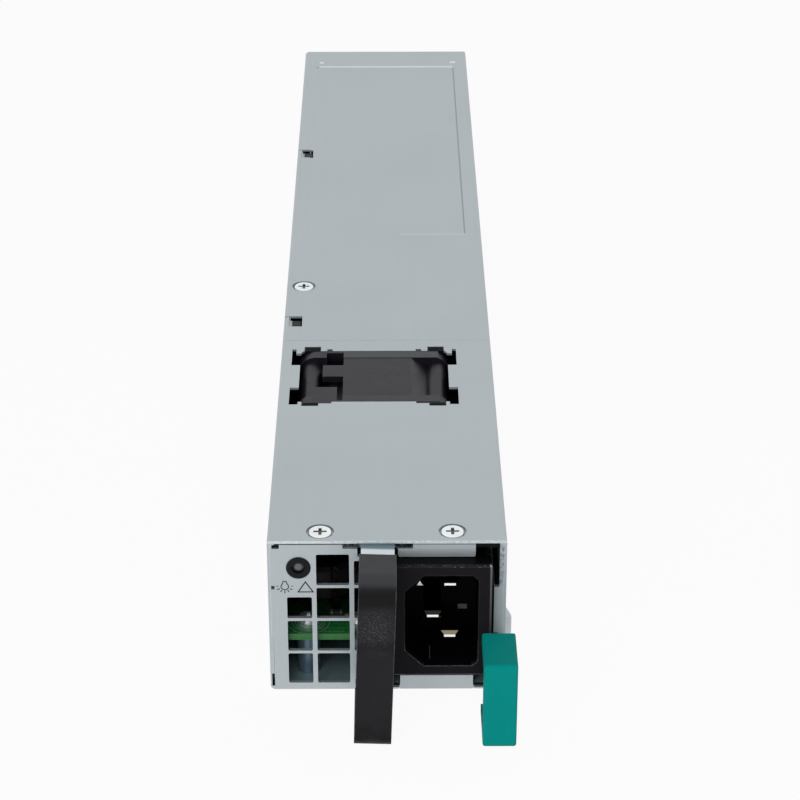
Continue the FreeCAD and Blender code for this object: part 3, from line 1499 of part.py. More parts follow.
def bulk_capacitors():
    piece = can("bulk_capacitor", bulk_across, bulk_long)
    x = (bulk_across + size.bulk_gap) / 2
    z = main_board_top + bulk_across / 2
    group("bulk_capacitors", piece, [(side * x, row_bulk, z) for side in (-1, 1)], *ALONG_Y)


def primary_heatsink():
    """A finned extrusion along the left wall with the switching transistors on its face."""
    left = -wall_in + size.part_gap / 2
    right = left + size.sink_deep
    low = main_board_top
    sink = new_body("primary_heatsink")
    plate = right - size.sink_plate
    add(sink, "XY", low, low + size.sink_tall, rectangle(
        plate, right, row_sink, row_sink + sink_long))
    pitch = size.sink_tall / size.sink_fins
    fins = [rectangle(left, plate, low + pitch * index, low + pitch * index + size.sink_fin)
            for index in range(round(float(size.sink_fins)))]
    add(sink, "XZ", row_sink, row_sink + sink_long, *fins)
    node(sink, "primary_heatsink")
    device = new_body("primary_transistor")
    add(device, "YZ", 0, size.transistor_thick, rectangle(
        Length("0"), size.transistor_wide, Length("0"), size.transistor_tall, size.window_corner))
    cut(device, "YZ", 0, size.transistor_thick,
        disc(size.transistor_wide / 2, size.transistor_tall - size.transistor_hole_drop,
             size.board_screw_shank))
    gap = (sink_long - size.transistor_wide * 2) / 3
    group("primary_transistors", device, [
        (right, row_sink + gap, low), (right, row_sink + gap * 2 + size.transistor_wide, low)])


def main_transformer():
    """A ferrite frame with a centre leg; the taped winding fills its two windows."""
    wide, rise, deep = size.core_wide, size.core_rise, size.core_deep
    leg, centre_leg = size.core_leg, size.core_centre_leg
    x, low = size.core_x, main_board_top
    y = row_sink + size.part_gap * 3
    core = new_body("transformer_core")
    add(core, "XZ", y, y + deep, rectangle(x - wide / 2, x + wide / 2, low, low + rise, size.window_corner))
    inside = centre_leg / 2
    outside = wide / 2 - leg
    cut(core, "XZ", y, y + deep,
        rectangle(x - outside, x - inside, low + leg, low + rise - leg),
        rectangle(x + inside, x + outside, low + leg, low + rise - leg))
    node(core, "transformer_core")
    winding = new_body("transformer_winding")
    room = size.joint_gap
    middle = y + deep / 2
    half_deep = size.winding_deep / 2
    add(winding, "XY", low + leg + room, low + rise - leg - room, rectangle(
        x - outside + room, x + outside - room, middle - half_deep, middle + half_deep,
        size.winding_deep / 8))
    cut(winding, "XY", low + leg + room, low + rise - leg - room, rectangle(
        x - inside - room, x + inside + room, y - room, y + deep + room))
    node(winding, "transformer_winding")


def rear_parts():
    """Standby transformer, control card, bus bars with rectifiers, and output capacitors."""
    top = main_board_top
    upright_block("standby_transformer", size.part_gap, row_standby, top, size.standby_wide,
                  size.standby_deep, size.standby_tall, size.window_corner)
    card = new_body("control_board")
    card_x = low_wall_in - size.control_side_room
    add(card, "YZ", card_x, card_x + size.board_sheet, rectangle(
        row_sink, row_sink + size.control_long, top, top + size.control_tall, size.window_corner))
    node(card, "control_board")
    bars = new_body("output_bus_bar")
    foot = size.bar_tall / 3
    thick = size.bar_thick
    add(bars, "XZ", 0, bar_long, [
        (Length("0"), 0), (foot, 0), (foot, thick), (thick, thick), (thick, size.bar_tall),
        (Length("0"), size.bar_tall)])
    apart = rectifier_x / 2
    group("output_bus_bars", bars, [
        (apart * side - thick, row_busbars, top) for side in (-1, 0, 1)])
    device = new_body("rectifier")
    add(device, "XY", 0, size.mos_tall, rectangle(
        -size.mos_wide / 2, size.mos_wide / 2, Length("0"), size.mos_wide, size.window_corner))
    group("rectifier_transistors", device, [
        (side * rectifier_x, row_busbars + step * (size.mos_wide + size.part_gap), top)
        for side in (-1, 1) for step in range(3)])
    piece = can("output_capacitor", size.out_cap_across, size.out_cap_tall)
    pitch, columns = size.out_cap_pitch, round(float(size.out_cap_columns))
    spots = []
    for row in range(round(float(size.out_cap_rows))):
        for column in range(columns):
            x = pitch * (column - (columns - 1) / 2)
            spots.append((x, row_output + pitch * (row + 0.5), top))
    group("output_capacitors", piece, spots)


# ---------------------------------------------------------------- wires

def wire_path(points, bend):
    """Straight runs joined by tangent arcs."""
    corners = [FreeCAD.Vector(*map(float, point)) for point in points]
    edges, start = [], corners[0]
    for before, corner, after in zip(corners, corners[1:], corners[2:]):
        back, ahead = (before - corner).normalize(), (after - corner).normalize()
        half_angle = back.getAngle(ahead) / 2
        reach = float(bend) / math.tan(half_angle)
        middle = corner + (back + ahead).normalize() * (float(bend) / math.sin(half_angle))
        enter, leave = corner + back * reach, corner + ahead * reach
        top = middle + (corner - middle).normalize() * float(bend)
        edges += [Part.LineSegment(start, enter).toShape(), Part.Arc(enter, top, leave).toShape()]
        start = leave
    edges.append(Part.LineSegment(start, corners[-1]).toShape())
    return Part.Wire(edges)


def wires(label, routes, across, bend):
    """Insulated wires held on their way; a swept tube for each route."""
    tubes = []
    for points in routes:
        path = wire_path(points, bend)
        start = path.Edges[0]
        normal = start.tangentAt(start.FirstParameter)
        section = Part.Wire(Part.Circle(path.Vertexes[0].Point, normal, float(across) / 2).toShape())
        tubes.append(path.makePipeShell([section], True, True))
    bundle = doc.addObject("Part::Feature", label)
    bundle.Shape = tubes[0] if len(tubes) == 1 else Part.makeCompound(tubes)
    node(bundle, label)


def inner_wires():
    """Mains wires run past the right side of the fan; the fan's own lead goes to its plug."""
    across, bend = size.wire_across, size.wire_bend
    pitch = across * 1.2
    lane = (fan_x + fan_half + wall_in) / 2
    high = main_board_top + size.bridge_tall + pitch
    start_y = row_x_cap + y_cap_step * 2 + across * 2
    end_y = row_plug + size.bridge_deep + size.part_gap * 2
    routes = []
    for index in range(2):
        shift = pitch * index
        routes.append([
            (filter_right - across * 2 - shift, start_y - shift, filter_board_top),
            (filter_right - across * 2 - shift, start_y - shift, high + shift),
            (lane, start_y - shift, high + shift),
            (lane, end_y + shift, high + shift),
            (lane, end_y + shift, main_board_top)])
    wires("mains_wires", routes, across, bend)
    wire = size.fan_wire_across
    plug_x = -board_side + size.part_gap + size.plug_wide / 2
    wire_z = fan_z + fan_half - size.fan_flange
    wires("fan_cable", [[
        (fan_x - fan_column_out * 0.8, fan_rear, wire_z - wire),
        (fan_x - fan_column_out * 0.8, row_plug + size.plug_deep / 2, wire_z - wire),
        (plug_x, row_plug + size.plug_deep / 2, main_board_top + size.plug_tall + wire * 4),
        (plug_x, row_plug + size.plug_deep / 2, main_board_top + size.plug_tall)]], wire, wire * 1.5)


# ---------------------------------------------------------------- build, check, write

chassis_tray()
front_cover()
rear_cover()
cover_screws()
status_lamp()
pull_strap()
mains_inlet()
release_latch()
fan_frame()
fan_rotor()
fan_motor()
filter_board()
main_board()
output_contacts()
filter_parts()
main_front_parts()
power_factor_parts()
bulk_capacitors()
primary_heatsink()
main_transformer()
rear_parts()
inner_wires()
doc.recompute()

for thing in doc.Objects:
    if "Invalid" in thing.State or "Error" in thing.State:
        raise RuntimeError(f"{thing.Label} did not build: {thing.State}")
    if thing.TypeId == "PartDesign::Pocket":
        removed = thing.BaseFeature.Shape.Volume - thing.Shape.Volume
        if removed <= 0:
            raise RuntimeError(f"{thing.Label} cuts nothing")

os.makedirs("parts", exist_ok=True)
for piece in nodes:
    shape = piece.Shape
    if shape.isNull() or not shape.isValid() or not shape.Solids:
        raise RuntimeError(f"{piece.Label} has no sound solid")
    shape.exportStep(f"parts/{piece.Label}.step")
    box = shape.BoundBox
    print(f"{piece.Label:24s} solids {len(shape.Solids):3d} volume {shape.Volume:10.1f} "
          f"x {box.XMin:7.2f} {box.XMax:7.2f} y {box.YMin:7.2f} {box.YMax:7.2f} "
          f"z {box.ZMin:7.2f} {box.ZMax:7.2f}")
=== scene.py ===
"""The looks of the hot swap server power supply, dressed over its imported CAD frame."""
import json
import math

import bpy
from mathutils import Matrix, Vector


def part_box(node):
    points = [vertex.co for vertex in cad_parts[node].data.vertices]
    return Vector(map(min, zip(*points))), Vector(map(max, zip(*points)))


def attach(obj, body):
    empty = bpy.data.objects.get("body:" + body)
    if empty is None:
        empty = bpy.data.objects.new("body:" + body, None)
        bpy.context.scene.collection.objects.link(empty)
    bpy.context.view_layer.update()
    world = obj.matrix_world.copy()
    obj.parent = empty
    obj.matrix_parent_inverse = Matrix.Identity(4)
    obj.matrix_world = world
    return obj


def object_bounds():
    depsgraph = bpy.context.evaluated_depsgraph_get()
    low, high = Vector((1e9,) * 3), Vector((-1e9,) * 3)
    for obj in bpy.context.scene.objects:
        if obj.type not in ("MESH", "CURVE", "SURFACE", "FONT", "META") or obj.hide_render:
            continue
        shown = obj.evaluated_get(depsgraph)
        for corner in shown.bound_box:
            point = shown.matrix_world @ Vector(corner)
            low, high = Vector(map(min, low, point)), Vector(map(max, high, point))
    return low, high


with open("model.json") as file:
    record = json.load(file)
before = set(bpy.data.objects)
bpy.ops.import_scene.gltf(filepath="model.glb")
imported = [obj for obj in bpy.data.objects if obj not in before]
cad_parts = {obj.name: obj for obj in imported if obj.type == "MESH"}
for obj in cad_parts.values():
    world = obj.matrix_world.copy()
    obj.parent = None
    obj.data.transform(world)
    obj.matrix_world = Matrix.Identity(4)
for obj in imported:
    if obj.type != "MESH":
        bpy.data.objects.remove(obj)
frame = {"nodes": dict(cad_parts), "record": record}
cad_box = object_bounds()
nodes = frame["nodes"]
MM = 0.001
UP, FRONT = (0.0, 0.0, 1.0), (0.0, -1.0, 0.0)
WHITE = (1.0, 1.0, 1.0, 1.0)


# ---------------------------------------------------------------- studio

CAMERA_PLACE = Vector((0.007, -475.37, 328.99)) * MM
DEGREES_DOWN, DEGREES_RIGHT = 27.98, 0.353
LENS_MM, SENSOR_MM = 110.5, 36.0
FILL_TONE, FILL_STRENGTH = (0.95, 0.98, 1.0, 1.0), 0.36
TABLE_SIDE, TABLE_DROP = 8.0, 0.2 * MM
TABLE_TONE, TABLE_GLOW = (0.82, 0.82, 0.82, 1.0), 0.93


def product_camera():
    """A long lens in front of the face, looking down along the case."""
    data = bpy.data.cameras.new("product_camera")
    data.sensor_width = SENSOR_MM
    data.lens = LENS_MM
    data.clip_start, data.clip_end = 0.05, 20.0
    camera = bpy.data.objects.new("product_camera", data)
    camera.location = CAMERA_PLACE
    camera.rotation_euler = (math.radians(90.0 - DEGREES_DOWN), 0.0, math.radians(-DEGREES_RIGHT))
    bpy.context.scene.collection.objects.link(camera)
    bpy.context.scene.camera = camera


def softbox(name, place, target, width, height, watts):
    """A rectangular area lamp that faces its target."""
    data = bpy.data.lights.new(name, "AREA")
    data.shape = "RECTANGLE"
    data.size, data.size_y = width, height
    data.energy = watts
    lamp = bpy.data.objects.new(name, data)
    lamp.location = place
    aim = Vector(target) - Vector(place)
    lamp.rotation_euler = aim.to_track_quat("-Z", "Y").to_euler()
    lamp.visible_glossy = False
    bpy.context.scene.collection.objects.link(lamp)


def add_node(tree, kind, inputs=None, **settings):
    """A new node with its settings, its linked inputs and its fixed ones."""
    made = tree.nodes.new(kind)
    for key, value in settings.items():
        setattr(made, key, value)
    for key, value in (inputs or {}).items():
        if isinstance(value, bpy.types.NodeSocket):
            tree.links.new(value, made.inputs[key])
        else:
            made.inputs[key].default_value = value
    return made


def arithmetic(tree, operation, first, second):
    """One step of arithmetic on two sockets or numbers."""
    return add_node(tree, "ShaderNodeMath", {0: first, 1: second}, operation=operation).outputs[0]


def ramp(tree, value, low, high, start=0.0, end=1.0):
    """A value spread from one range over another, held at both ends."""
    spread = add_node(tree, "ShaderNodeMapRange", {
        "Value": value, "From Min": low, "From Max": high, "To Min": start, "To Max": end})
    return spread.outputs[0]


def product(tree, shares):
    """Several masks multiplied together."""
    whole = 1.0
    for share in shares:
        whole = arithmetic(tree, "MULTIPLY", whole, share)
    return whole


def within(tree, limits):
    """1 where every value has passed from its first limit to its second."""
    return product(tree, (ramp(tree, value, start, full) for value, start, full in limits))


def blend_tones(tree, share, first, second):
    """Two colours mixed by a share."""
    mixed = add_node(tree, "ShaderNodeMix", {0: share, 6: first, 7: second}, data_type="RGBA")
    return mixed.outputs[2]


def seen_directly(tree):
    """1 for rays that look at the backdrop: straight, mirrored or through glass."""
    path = add_node(tree, "ShaderNodeLightPath").outputs
    mirrored = arithmetic(tree, "MAXIMUM", path["Is Camera Ray"], path["Is Glossy Ray"])
    return arithmetic(tree, "MAXIMUM", mirrored, path["Is Transmission Ray"])


def white_studio():
    """A white surround that lights softly and shows white behind the object."""
    world = bpy.data.worlds.new("white_studio")
    bpy.context.scene.world = world
    world.use_nodes = True
    tree = world.node_tree
    tree.nodes.clear()
    fill = add_node(tree, "ShaderNodeBackground", {"Color": FILL_TONE, "Strength": FILL_STRENGTH})
    shown = add_node(tree, "ShaderNodeBackground", {"Color": WHITE, "Strength": 1.0})
    both = add_node(tree, "ShaderNodeMixShader", {
        0: seen_directly(tree), 1: fill.outputs[0], 2: shown.outputs[0]})
    add_node(tree, "ShaderNodeOutputWorld", {"Surface": both.outputs[0]})


def pale_floor():
    """The table top under the case: white, with a faint shadow left in it."""
    bpy.ops.object.select_all(action="DESELECT")
    bpy.ops.mesh.primitive_plane_add(size=TABLE_SIDE, location=(0.0, 0.15, -TABLE_DROP))
    floor = bpy.context.object
    floor.name = "studio_floor"
    material = bpy.data.materials.new("pale_table")
    material.use_nodes = True
    tree = material.node_tree
    tree.nodes.clear()
    table = add_node(tree, "ShaderNodeBsdfDiffuse", {"Color": TABLE_TONE})
    glow = add_node(tree, "ShaderNodeEmission", {"Color": WHITE, "Strength": 1.0})
    share = arithmetic(tree, "MULTIPLY", seen_directly(tree), TABLE_GLOW)
    both = add_node(tree, "ShaderNodeMixShader", {0: share, 1: table.outputs[0], 2: glow.outputs[0]})
    add_node(tree, "ShaderNodeOutputMaterial", {"Surface": both.outputs[0]})
    floor.data.materials.append(material)


product_camera()
white_studio()
pale_floor()
softbox("top_softbox", place=(0.1, 0.45, 1.3), target=(0.0, 0.15, 0.02),
        width=1.6, height=1.6, watts=2.5)
softbox("front_softbox", place=(-0.35, -1.4, 0.75), target=(0.0, 0.0, 0.02),
        width=1.4, height=1.0, watts=22.0)
bpy.context.scene.view_settings.view_transform = "Standard"


# ---------------------------------------------------------------- shared effects

def effect(name, inputs, outputs):
    """A shader node group with its sockets; gives its tree, inputs and outputs."""
    tree = bpy.data.node_groups.new(name, "ShaderNodeTree")
    for label, kind, value in inputs:
        socket = tree.interface.new_socket(label, in_out="INPUT", socket_type=kind)
        if value is not None:
            socket.default_value = value
    for label, kind in outputs:
        tree.interface.new_socket(label, in_out="OUTPUT", socket_type=kind)
    given = tree.nodes.new("NodeGroupInput").outputs
    return tree, given, tree.nodes.new("NodeGroupOutput").inputs


def mottle_effect():
    """Slow drift round 1 that varies a tone or a roughness over a surface."""
    tree, given, out = effect(
        "mottle",
        [("Coordinates", "NodeSocketVector", None), ("Scale", "NodeSocketFloat", 60.0),
         ("Amount", "NodeSocketFloat", 0.06)],
        [("Drift", "NodeSocketFloat")])
    noise = add_node(tree, "ShaderNodeTexNoise", {
        "Vector": given["Coordinates"], "Scale": given["Scale"], "Detail": 3.0})
    low = arithmetic(tree, "SUBTRACT", 1.0, given["Amount"])
    high = arithmetic(tree, "ADD", 1.0, given["Amount"])
    tree.links.new(ramp(tree, noise.outputs[0], 0.3, 0.7, low, high), out["Drift"])
    return tree


def grain_effect():
    """The fine tooth of rolled sheet or of a spark-eroded mould, as a height."""
    tree, given, out = effect(
        "grain",
        [("Coordinates", "NodeSocketVector", None), ("Scale", "NodeSocketFloat", 2000.0),
         ("Stretch", "NodeSocketVector", (1.0, 1.0, 1.0))],
        [("Height", "NodeSocketFloat")])
    drawn = add_node(tree, "ShaderNodeVectorMath", {
        0: given["Coordinates"], 1: given["Stretch"]}, operation="MULTIPLY")
    noise = add_node(tree, "ShaderNodeTexNoise", {
        "Vector": drawn.outputs[0], "Scale": given["Scale"], "Detail": 4.0, "Roughness": 0.6})
    tree.links.new(noise.outputs[0], out["Height"])
    return tree


def edge_highlight_and_wear_effect():
    """Painted edge highlights and edge wear: 1 along a sharp edge, broken up a little."""
    tree, given, out = effect(
        "edge_highlight_and_wear",
        [("Coordinates", "NodeSocketVector", None), ("Radius", "NodeSocketFloat", 0.3 * MM),
         ("Amount", "NodeSocketFloat", 0.5), ("Breaks", "NodeSocketFloat", 500.0)],
        [("Mask", "NodeSocketFloat")])
    round_normal = add_node(tree, "ShaderNodeBevel", {"Radius": given["Radius"]}, samples=4)
    flat_normal = add_node(tree, "ShaderNodeNewGeometry")
    along = add_node(tree, "ShaderNodeVectorMath", {
        0: round_normal.outputs[0], 1: flat_normal.outputs["Normal"]}, operation="DOT_PRODUCT")
    edge = ramp(tree, along.outputs["Value"], 0.995, 0.9)
    breaks = add_node(tree, "ShaderNodeTexNoise", {
        "Vector": given["Coordinates"], "Scale": given["Breaks"], "Detail": 2.0})
    worn = ramp(tree, breaks.outputs[0], 0.38, 0.6, 0.3, 1.0)
    held = arithmetic(tree, "MULTIPLY", edge, worn)
    tree.links.new(arithmetic(tree, "MULTIPLY", held, given["Amount"]), out["Mask"])
    return tree


def facing_effect():
    """How far a surface faces a given way: 1 straight towards it, 0 across it."""
    tree, given, out = effect(
        "facing",
        [("Way", "NodeSocketVector", UP), ("Start", "NodeSocketFloat", 0.5),
         ("Full", "NodeSocketFloat", 0.8)],
        [("Mask", "NodeSocketFloat")])
    surface = add_node(tree, "ShaderNodeNewGeometry")
    along = add_node(tree, "ShaderNodeVectorMath", {
        0: surface.outputs["Normal"], 1: given["Way"]}, operation="DOT_PRODUCT")
    tree.links.new(ramp(tree, along.outputs["Value"], given["Start"], given["Full"]), out["Mask"])
    return tree


MOTTLE, GRAIN, EDGE_HIGHLIGHT_AND_WEAR, FACING = mottle_effect(), grain_effect(), edge_highlight_and_wear_effect(), facing_effect()


# ---------------------------------------------------------------- finishes

EVEN = (1.0, 1.0, 1.0)


def tone(red, green, blue):
    """A colour given as the eye's 0 to 255, for a shader."""
    def light(value):
        share = value / 255.0
        return share / 12.92 if share <= 0.04045 else ((share + 0.055) / 1.055) ** 2.4
    return (light(red), light(green), light(blue), 1.0)


def use_effect(tree, group, inputs):
    """One of the shared effects, set into a material with its own values."""
    return add_node(tree, "ShaderNodeGroup", inputs, node_tree=group).outputs[0]


class Finish:
    """A material being made up: its tree, its shader and its object coordinates."""

    def __init__(self, name, roughness, metallic=0.0, specular=0.5):
        self.material = bpy.data.materials.new(name)
        self.material.use_nodes = True
        self.tree = self.material.node_tree
        self.shader = self.tree.nodes["Principled BSDF"]
        self.shader.inputs["Metallic"].default_value = metallic
        self.shader.inputs["Specular IOR Level"].default_value = specular
        self.here = add_node(self.tree, "ShaderNodeTexCoord").outputs["Object"]
        self.roughness = roughness
        self.shown = None

    def drift(self, scale, amount):
        """A number that wanders round 1 over the surface."""
        return use_effect(self.tree, MOTTLE, {"Coordinates": self.here, "Scale": scale, "Amount": amount})

    def colour(self, base, scale=60.0, amount=0.05):
        """The base tone, drifting slowly over the surface, and a gloss that drifts faster."""
        toned = add_node(self.tree, "ShaderNodeVectorMath", {
            0: base[:3], "Scale": self.drift(scale, amount)}, operation="SCALE")
        self.shown = toned.outputs[0]
        rough = arithmetic(self.tree, "MULTIPLY", self.drift(scale * 2.3, amount * 1.5), self.roughness)
        self.tree.links.new(rough, self.shader.inputs["Roughness"])

    def over(self, mask, tint, amount=None):
        """Another tone where the mask is 1, covering by the amount: a number or a second mask."""
        if amount is not None:
            mask = arithmetic(self.tree, "MULTIPLY", mask, amount)
        self.shown = blend_tones(self.tree, mask, self.shown, tint)

    def looking(self, way, start, full):
        """A mask of the faces that look one way."""
        return use_effect(self.tree, FACING, {"Way": way, "Start": start, "Full": full})

    def edges(self, radius, amount, breaks):
        """A mask of the sharp edges, broken up."""
        return use_effect(self.tree, EDGE_HIGHLIGHT_AND_WEAR, {
            "Coordinates": self.here, "Radius": radius, "Amount": amount, "Breaks": breaks})

    def edge_tinted(self, radius, amount, tint, breaks=500.0):
        """Another tone along the sharp edges: painted edge highlights, and wear where handling reaches
        them.
        """
        self.over(self.edges(radius, amount, breaks), tint)

    def grain(self, scale, stretch):
        """The fine tooth as a height."""
        return use_effect(self.tree, GRAIN, {"Coordinates": self.here, "Scale": scale, "Stretch": stretch})

    def noise(self, scale, low, high, stretch=EVEN):
        """A mask of soft blots."""
        return ramp(self.tree, self.grain(scale, stretch), low, high)

    def axis(self, letter):
        """One of the object coordinates by itself."""
        return add_node(self.tree, "ShaderNodeSeparateXYZ", {0: self.here}).outputs[letter]

    def inside(self, low, high, soft=0.1):
        """A mask of the space between two corners, given in millimetres."""
        limits = []
        for letter, start, end in zip("XYZ", low, high):
            value = self.axis(letter)
            limits.append((value, (start - soft) * MM, start * MM))
            limits.append((value, (end + soft) * MM, end * MM))
        return within(self.tree, limits)

    def patches(self, spots):
        """Other tones inside given spaces: two corners, the tone and how far it covers."""
        for low, high, tint, amount in spots:
            self.over(self.inside(low, high), tint, amount)

    def done(self, scale=2000.0, depth=0.02 * MM, strength=0.3, stretch=EVEN, height=None):
        """Links the tone and a fine tooth, and gives the material."""
        if height is None:
            height = self.grain(scale, stretch)
        bump = add_node(self.tree, "ShaderNodeBump", {
            "Height": height, "Distance": depth, "Strength": strength})
        self.tree.links.new(bump.outputs[0], self.shader.inputs["Normal"])
        self.tree.links.new(self.shown, self.shader.inputs["Base Color"])
        return self.material


def galvanised_steel(name="galvanised_steel", spots=(), spangled=None):
    """Satin zinc-coated sheet: rolling lines along the case, painted highlights on its edges and along the
    top front edge, and inside the case a painted bluish reflection giving way to painted shade further
    back.
    """
    sheet = Finish(name, roughness=0.42, metallic=0.7)
    sheet.colour(tone(177, 185, 189), scale=25.0, amount=0.02)
    sheet.over(sheet.noise(900.0, 0.35, 0.75, stretch=(1.0, 0.02, 1.0)), tone(196, 203, 207), 0.07)
    # lighter edges: painted edge highlights
    sheet.edge_tinted(0.25 * MM, 0.6, tone(220, 227, 231))
    across, along, up = sheet.axis("X"), sheet.axis("Y"), sheet.axis("Z")
    side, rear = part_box("chassis_tray")[1].xy
    top = cad_box[1].z
    # a painted highlight along the top front edge, broken into flecks
    flecks = ramp(sheet.tree, sheet.noise(1100.0, 0.4, 0.6), 0.0, 1.0, 0.35, 1.0)
    front_edge = within(sheet.tree, [
        (along, 0.4 * MM, 0.1 * MM), (up, top - 0.6 * MM, top - 0.45 * MM)])
    sheet.over(front_edge, tone(216, 224, 228), flecks)
    # inside the case: a painted bluish reflection, then painted shade deepening towards the back
    inner = within(sheet.tree, [
        (along, 1.1 * MM, 1.4 * MM), (along, rear - 0.8 * MM, rear - 1.1 * MM),
        (up, 0.7 * MM, 1.0 * MM), (up, top - 0.6 * MM, top - 1.0 * MM),
        (arithmetic(sheet.tree, "ABSOLUTE", across, 0.0), side - 0.7 * MM, side - 1.0 * MM)])
    sheet.over(inner, tone(150, 196, 206), 0.5)
    deeper = ramp(sheet.tree, along, 2.0 * MM, 14.0 * MM, 0.08, 0.82)
    sheet.over(inner, tone(72, 92, 98), deeper)
    sheet.patches(spots)
    if spangled:
        spangle = sheet.noise(1000.0, 0.44, 0.58)
        sheet.over(sheet.inside(*spangled), tone(128, 132, 134), spangle)
    return sheet.done(1400.0, depth=0.01 * MM, strength=0.25, stretch=(1.0, 0.15, 1.0))


def tray_steel():
    """The tray's sheet: painted shade behind the notches and slots, spangled on the right wall's edge."""
    shade, cold = tone(7, 8, 10), tone(24, 36, 42)
    return galvanised_steel("tray_steel", spots=[
        # painted shade behind the open corner over the inlet, and at the left wall's two corners
        ((19.2, 0.7, 36.0), (25.6, 3.0, 39.7), shade, 1.0),
        ((-26.9, 0.7, 37.2), (-24.4, 3.0, 39.7), shade, 0.95),
        ((-26.9, 0.1, 0.95), (-25.0, 3.5, 4.6), shade, 0.95),
        # painted shade in the slits on both sides of the lower lip
        ((-0.5, -0.2, 0.5), (2.75, 1.0, 1.1), cold, 0.9),
        ((20.25, -0.2, 0.5), (24.0, 1.0, 1.1), cold, 0.9),
        # painted shade under the two hook slots of the covers
        ((-25.1, 109.0, 38.6), (-21.8, 118.0, 39.7), shade, 1.0),
        ((-25.1, 226.0, 38.6), (-21.8, 235.0, 39.7), shade, 1.0),
    ], spangled=((25.4, -0.2, 28.4), (27.1, 0.4, 39.4)))


def front_cover_steel():
    """The front cover's sheet: a painted shadow line under its front edge, a painted blue reflection over
    the strap slot.
    """
    return galvanised_steel("front_cover_steel", spots=[
        ((-25.0, -0.2, 39.3), (20.0, 0.3, 39.55), tone(120, 128, 134), 0.8),
        ((-7.0, -0.2, 39.35), (1.9, 0.35, 39.75), tone(104, 140, 156), 0.8),
    ])


def rear_cover_steel():
    """The rear cover's sheet: the pressed edges of the label field, with painted highlights where they
    face forward and painted shade on the right edge.
    """
    bright = tone(224, 230, 234)
    return galvanised_steel("rear_cover_steel", spots=[
        # painted highlights on the field's rear and front edges, painted shade on its right edge
        ((-22.2, 306.7, 39.9), (22.5, 307.9, 40.3), bright, 0.8),
        ((22.4, 170.5, 39.9), (22.75, 306.4, 40.3), tone(134, 138, 152), 0.75),
        ((4.0, 169.3, 39.9), (22.4, 170.2, 40.3), tone(200, 206, 210), 0.6),
        # two painted highlights behind it
        ((-22.2, 310.5, 40.0), (-20.9, 311.9, 40.3), bright, 0.85),
        ((21.7, 310.8, 40.0), (23.5, 312.3, 40.3), bright, 0.85),
    ])


def screw_steel():
    """Bright nickel plate, darker along its edges."""
    plate = Finish("screw_steel", roughness=0.22, metallic=0.9)
    plate.colour(tone(232, 236, 236), scale=200.0, amount=0.04)
    plate.edge_tinted(0.2 * MM, 0.5, tone(120, 124, 128))
    return plate.done(3000.0, depth=0.01 * MM, strength=0.2)


def cover_screw():
    """The same plate on the case screws, with painted shade in the cross recess and round the rim."""
    plate = Finish("cover_screw", roughness=0.22, metallic=0.6)
    plate.colour(tone(240, 244, 244), scale=200.0, amount=0.04)
    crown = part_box("cover_screws")[1].z
    # painted shade on what lies below the crown: the cross recess and the rim
    sunk = ramp(plate.tree, plate.axis("Z"), crown - 0.1 * MM, crown - 0.3 * MM)
    plate.over(sunk, tone(66, 76, 80))
    return plate.done(3000.0, depth=0.01 * MM, strength=0.2)


def spring_steel():
    """Cold-rolled spring strip with drawing lines along it."""
    strip = Finish("spring_steel", roughness=0.3, metallic=0.6)
    strip.colour(tone(196, 203, 208), scale=80.0, amount=0.03)
    strip.edge_tinted(0.2 * MM, 0.4, tone(214, 220, 224))
    return strip.done(2500.0, depth=0.01 * MM, strength=0.2, stretch=(0.05, 0.05, 1.0))


def strap_band():
    """The strap's plated end, near-white as a painted highlight: a painted blue reflection where it runs
    into the slot under the cover, painted shade on its two wings there.
    """
    strip = Finish("strap_band", roughness=0.25)
    # near-white base: a painted highlight on the plated steel
    strip.colour(tone(244, 252, 253), scale=80.0, amount=0.02)
    strip.edge_tinted(0.2 * MM, 0.4, tone(200, 208, 212))
    low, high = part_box("handle_band")
    swirl = strip.noise(1500.0, 0.5, 0.62, stretch=(1.0, 1.0, 2.0))
    painted_shade_breaks = arithmetic(strip.tree, "SUBTRACT", 1.0, arithmetic(strip.tree, "MULTIPLY", swirl, 0.4))
    sunk = within(strip.tree, [
        (strip.axis("Y"), -0.9 * MM, -0.3 * MM), (strip.axis("Z"), 30.0 * MM, 32.0 * MM)])
    aside = arithmetic(strip.tree, "SUBTRACT", strip.axis("X"), (low.x + high.x) / 2.0)
    aside = arithmetic(strip.tree, "ABSOLUTE", aside, 0.0)
    wings = ramp(strip.tree, aside, 3.7 * MM, 4.0 * MM)
    # painted blue reflection in the slot, then painted shade on the two wings, broken by a swirl
    strip.over(sunk, tone(104, 138, 152), 0.8)
    strip.over(product(strip.tree, [sunk, wings, painted_shade_breaks]), tone(20, 26, 31))
    return strip.done(2500.0, depth=0.01 * MM, strength=0.2, stretch=(1.0, 0.05, 0.05))


